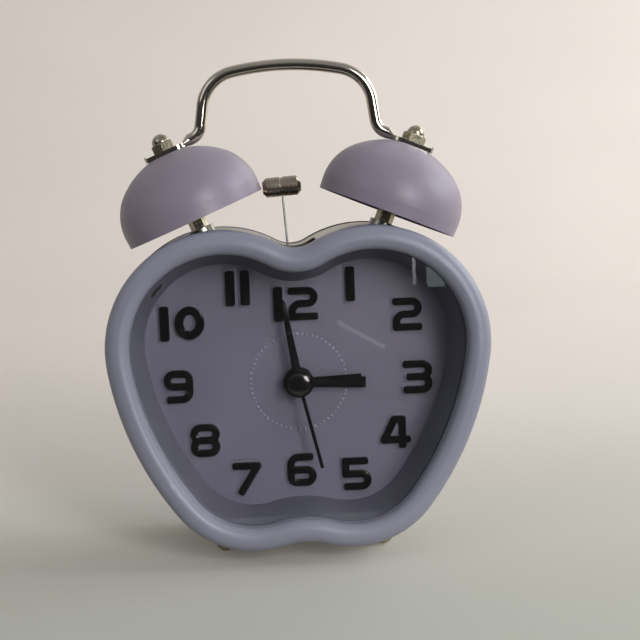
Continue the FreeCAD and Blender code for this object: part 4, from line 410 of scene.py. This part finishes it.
# %% Directions at the window
window_place = on_clock(-45.89, 9.5, 32.99)
window_angle = math.radians(138.4)
well_taper, well_depth = 3.8, 14.6
lamp_lean = 0.25
out_of_well = across_dial * math.cos(window_angle) + up_dial * math.sin(window_angle)
along_wall = up_dial * math.cos(window_angle) - across_dial * math.sin(window_angle)
wall_normal = (out_of_well + into_dial * (well_taper / well_depth)).normalized()
lamp_axis = (out_of_well - into_dial * lamp_lean).normalized()
lamp_frame = Matrix((along_wall, lamp_axis.cross(along_wall), lamp_axis)).transposed().to_4x4()
print("the lamp leans", round(math.degrees(math.atan(lamp_lean)), 1), "degrees to the front")

# %% Plug in the window
plug_length, plug_width, plug_reach, plug_bore = 5.5, 4.3, 4.3, 1.62
plug_gap, plug_rim = 0.1, 0.15

select_nothing()
bpy.ops.mesh.primitive_cylinder_add(vertices=32, radius=plug_bore * MM, depth=14 * MM)
drill = bpy.context.object
drill.matrix_world = Matrix.Translation(window_place) @ lamp_frame
# The black plug fills the window as painted shade of the case's dark inside.
bpy.ops.mesh.primitive_cube_add(size=2 * MM)
lamp_plug_painted_shade = bpy.context.object
lamp_plug_painted_shade.name = "lamp_plug_painted_shade"
lamp_plug_painted_shade.matrix_world = Matrix.Translation(window_place) @ lamp_frame
lamp_plug_painted_shade.scale = (plug_length / 2, plug_width / 2, plug_reach)
bpy.ops.object.transform_apply()
bpy.ops.object.mode_set(mode="EDIT")
bpy.ops.mesh.select_all(action="SELECT")
bpy.ops.mesh.bisect(plane_co=window_place + wall_normal * plug_gap * MM, plane_no=wall_normal,
                    use_fill=True, clear_inner=True)
bpy.ops.object.mode_set(mode="OBJECT")
bore = lamp_plug_painted_shade.modifiers.new("bore", "BOOLEAN")
bore.object = drill
bpy.ops.object.modifier_apply(modifier=bore.name)
rims = lamp_plug_painted_shade.modifiers.new("rims", "BEVEL")
rims.width = plug_rim * MM
rims.segments = 2
bpy.ops.object.modifier_apply(modifier=rims.name)
bpy.ops.object.shade_smooth_by_angle(angle=math.radians(40))
bpy.data.objects.remove(drill)
lamp_plug_painted_shade.data.materials.append(black_rubber_painted_shade)
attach(lamp_plug_painted_shade, "case")
print("plug faces:", len(lamp_plug_painted_shade.data.polygons))

# %% [markdown]
# ## Floor and backdrop
#
# The clock stands on a plain pale sheet that curves up behind it, so there is no line where the floor
# ends. A strip of sheet is a plane whose back edge is extruded upwards, with the fold rounded by a
# bevel.

# %% Sweep behind the clock
sheet_front, sheet_back, sheet_width, sheet_height = -0.16, 0.95, 3.6, 1.4
fold_width, fold_segments = 0.5, 24
sheet_depth = sheet_back - sheet_front

select_nothing()
bpy.ops.mesh.primitive_plane_add(size=sheet_depth, location=(0, (sheet_front + sheet_back) / 2, 0))
sheet = bpy.context.object
sheet.name = "paper_sweep"
sheet.scale.x = sheet_width / sheet_depth
bpy.ops.object.transform_apply(location=True, rotation=False, scale=True)
for vertex in sheet.data.vertices:
    vertex.select = vertex.co.y > sheet_back - 0.001
for edge in sheet.data.edges:
    edge.select = all(sheet.data.vertices[i].select for i in edge.vertices)
for face in sheet.data.polygons:
    face.select = False
bpy.ops.object.mode_set(mode="EDIT")
bpy.ops.mesh.select_mode(type="EDGE")
bpy.ops.mesh.extrude_region_move(TRANSFORM_OT_translate={"value": (0, 0, sheet_height)})
bpy.ops.object.mode_set(mode="OBJECT")
fold = sheet.modifiers.new("fold", "BEVEL")
fold.width = fold_width
fold.segments = fold_segments
bpy.ops.object.modifier_apply(modifier=fold.name)
bpy.ops.object.shade_smooth()
print("backdrop faces:", len(sheet.data.polygons))

# %% [markdown]
# ## Paper
#
# The table is a little greener than the wall and darker, a painted shade, and the wall gets lighter
# towards the window on the right, a painted light. Both come from where a point of the sheet lies: its
# tone from how far back it is, and a weak glow from how far back and how far right it is. Only what the
# camera sees, or what metal and glass mirror or let through, gets the glow, so it puts no light on the
# clock.

# %% Tones and glow of the paper
# The table's darker tone is painted shade, and both glows are painted light.
table_tone_and_shade, wall_glow, window_glow = "B2B3A8", 0.12, 0.1
paper = surface("plain_paper", {"Emission Color": linear("F4EBE2")}, ("D2C9C0", "D6CDC4"), 160,
                (0.75, 0.85), 0.8, 0.02)
tree = paper.node_tree
spot = add(tree, "ShaderNodeSeparateXYZ", {"Vector": add(tree, "ShaderNodeTexCoord").outputs["Object"]})
backward = add(tree, "ShaderNodeMapRange", {
    "Value": spot.outputs["Y"], "From Min": -0.14, "From Max": 0.28,
}, interpolation_type="SMOOTHSTEP").outputs["Result"]
rightward = add(tree, "ShaderNodeMapRange", {
    "Value": spot.outputs["X"], "From Min": -0.25, "From Max": 0.25, "To Min": 0.0, "To Max": window_glow,
}).outputs["Result"]
glow = add(tree, "ShaderNodeMath", {0: backward, 1: wall_glow, 2: rightward},
           operation="MULTIPLY_ADD").outputs["Value"]
shader = tree.nodes["Principled BSDF"]
paper_tone = shader.inputs["Base Color"].links[0].from_socket
# Sockets 6 and 7 of this node are its colours A and B, and output 2 is the mixed colour.
tone = add(tree, "ShaderNodeMix", {
    "Factor": backward, 6: linear(table_tone_and_shade), 7: paper_tone,
}, data_type="RGBA")
tree.links.new(tone.outputs[2], shader.inputs["Base Color"])
path = add(tree, "ShaderNodeLightPath")
seen = add(tree, "ShaderNodeMath", {0: path.outputs["Is Camera Ray"], 1: path.outputs["Is Glossy Ray"]},
           operation="MAXIMUM").outputs["Value"]
seen = add(tree, "ShaderNodeMath", {0: seen, 1: path.outputs["Is Transmission Ray"]},
           operation="MAXIMUM").outputs["Value"]
glow = add(tree, "ShaderNodeMath", {0: glow, 1: seen}, operation="MULTIPLY").outputs["Value"]
tree.links.new(glow, shader.inputs["Emission Strength"])
sheet.data.materials.append(paper)
print("table", table_tone_and_shade, "glow of the wall", wall_glow, "and towards the window", window_glow)

# %% [markdown]
# ## Light
#
# The real clock stands by a window on its right, a little in front of it. A large area lamp there
# gives the soft shadows of the hands and numbers to the left. A second one straight at the clock's
# right lights the right flanks, and a weak one on the left keeps the shaded side readable. A small one
# behind the clock shows the rear cover. An area lamp is used because its size makes the shadows soft.

# %% Windows and fills
def window(name, place, size, power, colour, roll=0.0):
    """Area lamp that faces the middle of the clock, turned about its own middle by a roll in degrees."""
    lamp = bpy.data.lights.new(name, "AREA")
    lamp.shape = "RECTANGLE"
    lamp.size, lamp.size_y = size
    lamp.energy = power
    lamp.color = colour
    holder = bpy.data.objects.new(name, lamp)
    bpy.context.scene.collection.objects.link(holder)
    holder.location = place
    middle = on_clock(0, 10, 10)
    facing = (middle - Vector(place)).to_track_quat("-Z", "Y")
    turn = facing @ Quaternion((0, 0, 1), math.radians(roll))
    holder.rotation_euler = turn.to_euler()
    print(name, power, "W at", [round(v, 2) for v in place])


window("window_light", (1.06, -1.99, 0.9), (0.7, 1.2), 36.0, (0.99, 0.99, 1.0))
window("side_window", (2.4, 0.17, 1.16), (1.44, 1.44), 35.8, (0.9, 0.95, 1.0))
window("room_fill", (-1.6, -1.2, 1.4), (1.2, 1.2), 4.5, (0.93, 0.97, 1.0))
window("back_fill", (0.8, 0.8, 0.55), (0.6, 0.6), 2.4, (0.95, 0.98, 1.0))

# %% [markdown]
# A clear pane is seen by what it mirrors. In the photograph three small bright things of the room show
# in it: a short slanting streak right of the hands, and an upright line and a greenish patch in the
# upper right corner. Mirrored in the pane, their lines of sight pass nine tenths of a metre in front of
# the clock, below and right of the camera. Three tiny lamps stand there. They are far too weak to light
# anything, and only their mirror images count. They are real lamps and not paint on the pane, so they
# move over the pane when the view changes, as they would in a room.

# %% Bright spots that the crystal mirrors
window("mirrored_streak", on_clock(90, -900, -76), (0.05, 0.004), 0.0004, (1.0, 0.98, 1.0), -31)
window("mirrored_line", on_clock(140.5, -900, -19), (0.0026, 0.026), 0.0004, (1.0, 1.0, 1.0))
window("mirrored_patch", on_clock(160, -900, -25), (0.016, 0.019), 0.0009, (0.85, 1.0, 0.97))

# %% [markdown]
# The world adds an even, dim light, brighter above than below, which also gives the chrome something to
# mirror. To the camera, and in what mirrors or lets through the side behind the clock, the world is as
# pale as the sheet, so every view has a pale background. The room in front stays dim in the pane, as in
# the photograph.

# %% Dim room
low_glow, high_glow, pale_glow = 0.04, 0.36, 0.72
world = bpy.data.worlds.new("room")
bpy.context.scene.world = world
world.use_nodes = True
tree = world.node_tree
towards = add(tree, "ShaderNodeTexCoord").outputs["Generated"]
direction = add(tree, "ShaderNodeSeparateXYZ", {"Vector": towards})
glow = add(tree, "ShaderNodeMapRange", {
    "Value": direction.outputs["Z"], "From Min": 0.1, "From Max": 0.9,
    "To Min": low_glow, "To Max": high_glow,
}, interpolation_type="SMOOTHSTEP").outputs["Result"]
behind = add(tree, "ShaderNodeMapRange", {
    "Value": direction.outputs["Y"], "From Max": 0.5,
}).outputs["Result"]
path = add(tree, "ShaderNodeLightPath")
mirrored = add(tree, "ShaderNodeMath", {
    0: path.outputs["Is Glossy Ray"], 1: path.outputs["Is Transmission Ray"],
}, operation="MAXIMUM").outputs["Value"]
seen = add(tree, "ShaderNodeMath", {0: mirrored, 1: behind, 2: path.outputs["Is Camera Ray"]},
           operation="MULTIPLY_ADD", use_clamp=True).outputs["Value"]
glow = add(tree, "ShaderNodeMix", {"Factor": seen, "A": glow, "B": pale_glow}).outputs["Result"]
tree.links.new(glow, tree.nodes["Background"].inputs["Strength"])
tree.nodes["Background"].inputs["Color"].default_value = (0.96, 0.98, 1.0, 1.0)
print("world from", low_glow, "to", high_glow, "and", pale_glow, "as a background")

# %% [markdown]
# ## Camera
#
# The photograph was taken from a little above and to the left, about half a metre away, with the
# camera turned slightly. Its place, direction and focal length were worked out from known points of
# the clock. The picture is square, so the sensor's 36 mm span its whole width.

# %% Camera at the photograph's place
camera_place = on_clock(-18, -500, 68)
camera_pan = math.radians(2.883)
camera_tilt = math.radians(-5.245)
camera_roll = math.radians(2.1)
focal_pixels = 1540.0
picture_width = 640

forward = (across_dial * math.sin(camera_pan) * math.cos(camera_tilt)
           + into_dial * math.cos(camera_pan) * math.cos(camera_tilt)
           + up_dial * math.sin(camera_tilt))
level = forward.cross(up_dial).normalized()
above = level.cross(forward)
right = level * math.cos(camera_roll) - above * math.sin(camera_roll)
upward = level * math.sin(camera_roll) + above * math.cos(camera_roll)

lens = bpy.data.cameras.new("camera")
lens.sensor_width = 36
lens.lens = lens.sensor_width * focal_pixels / picture_width
camera = bpy.data.objects.new("camera", lens)
bpy.context.scene.collection.objects.link(camera)
camera_turn = Matrix((right, upward, -forward)).transposed().to_4x4()
camera.matrix_world = Matrix.Translation(camera_place) @ camera_turn
bpy.context.scene.camera = camera
bpy.context.scene.view_settings.view_transform = "Standard"
print("focal length in mm:", round(lens.lens, 1), "camera at", [round(v, 3) for v in camera_place])
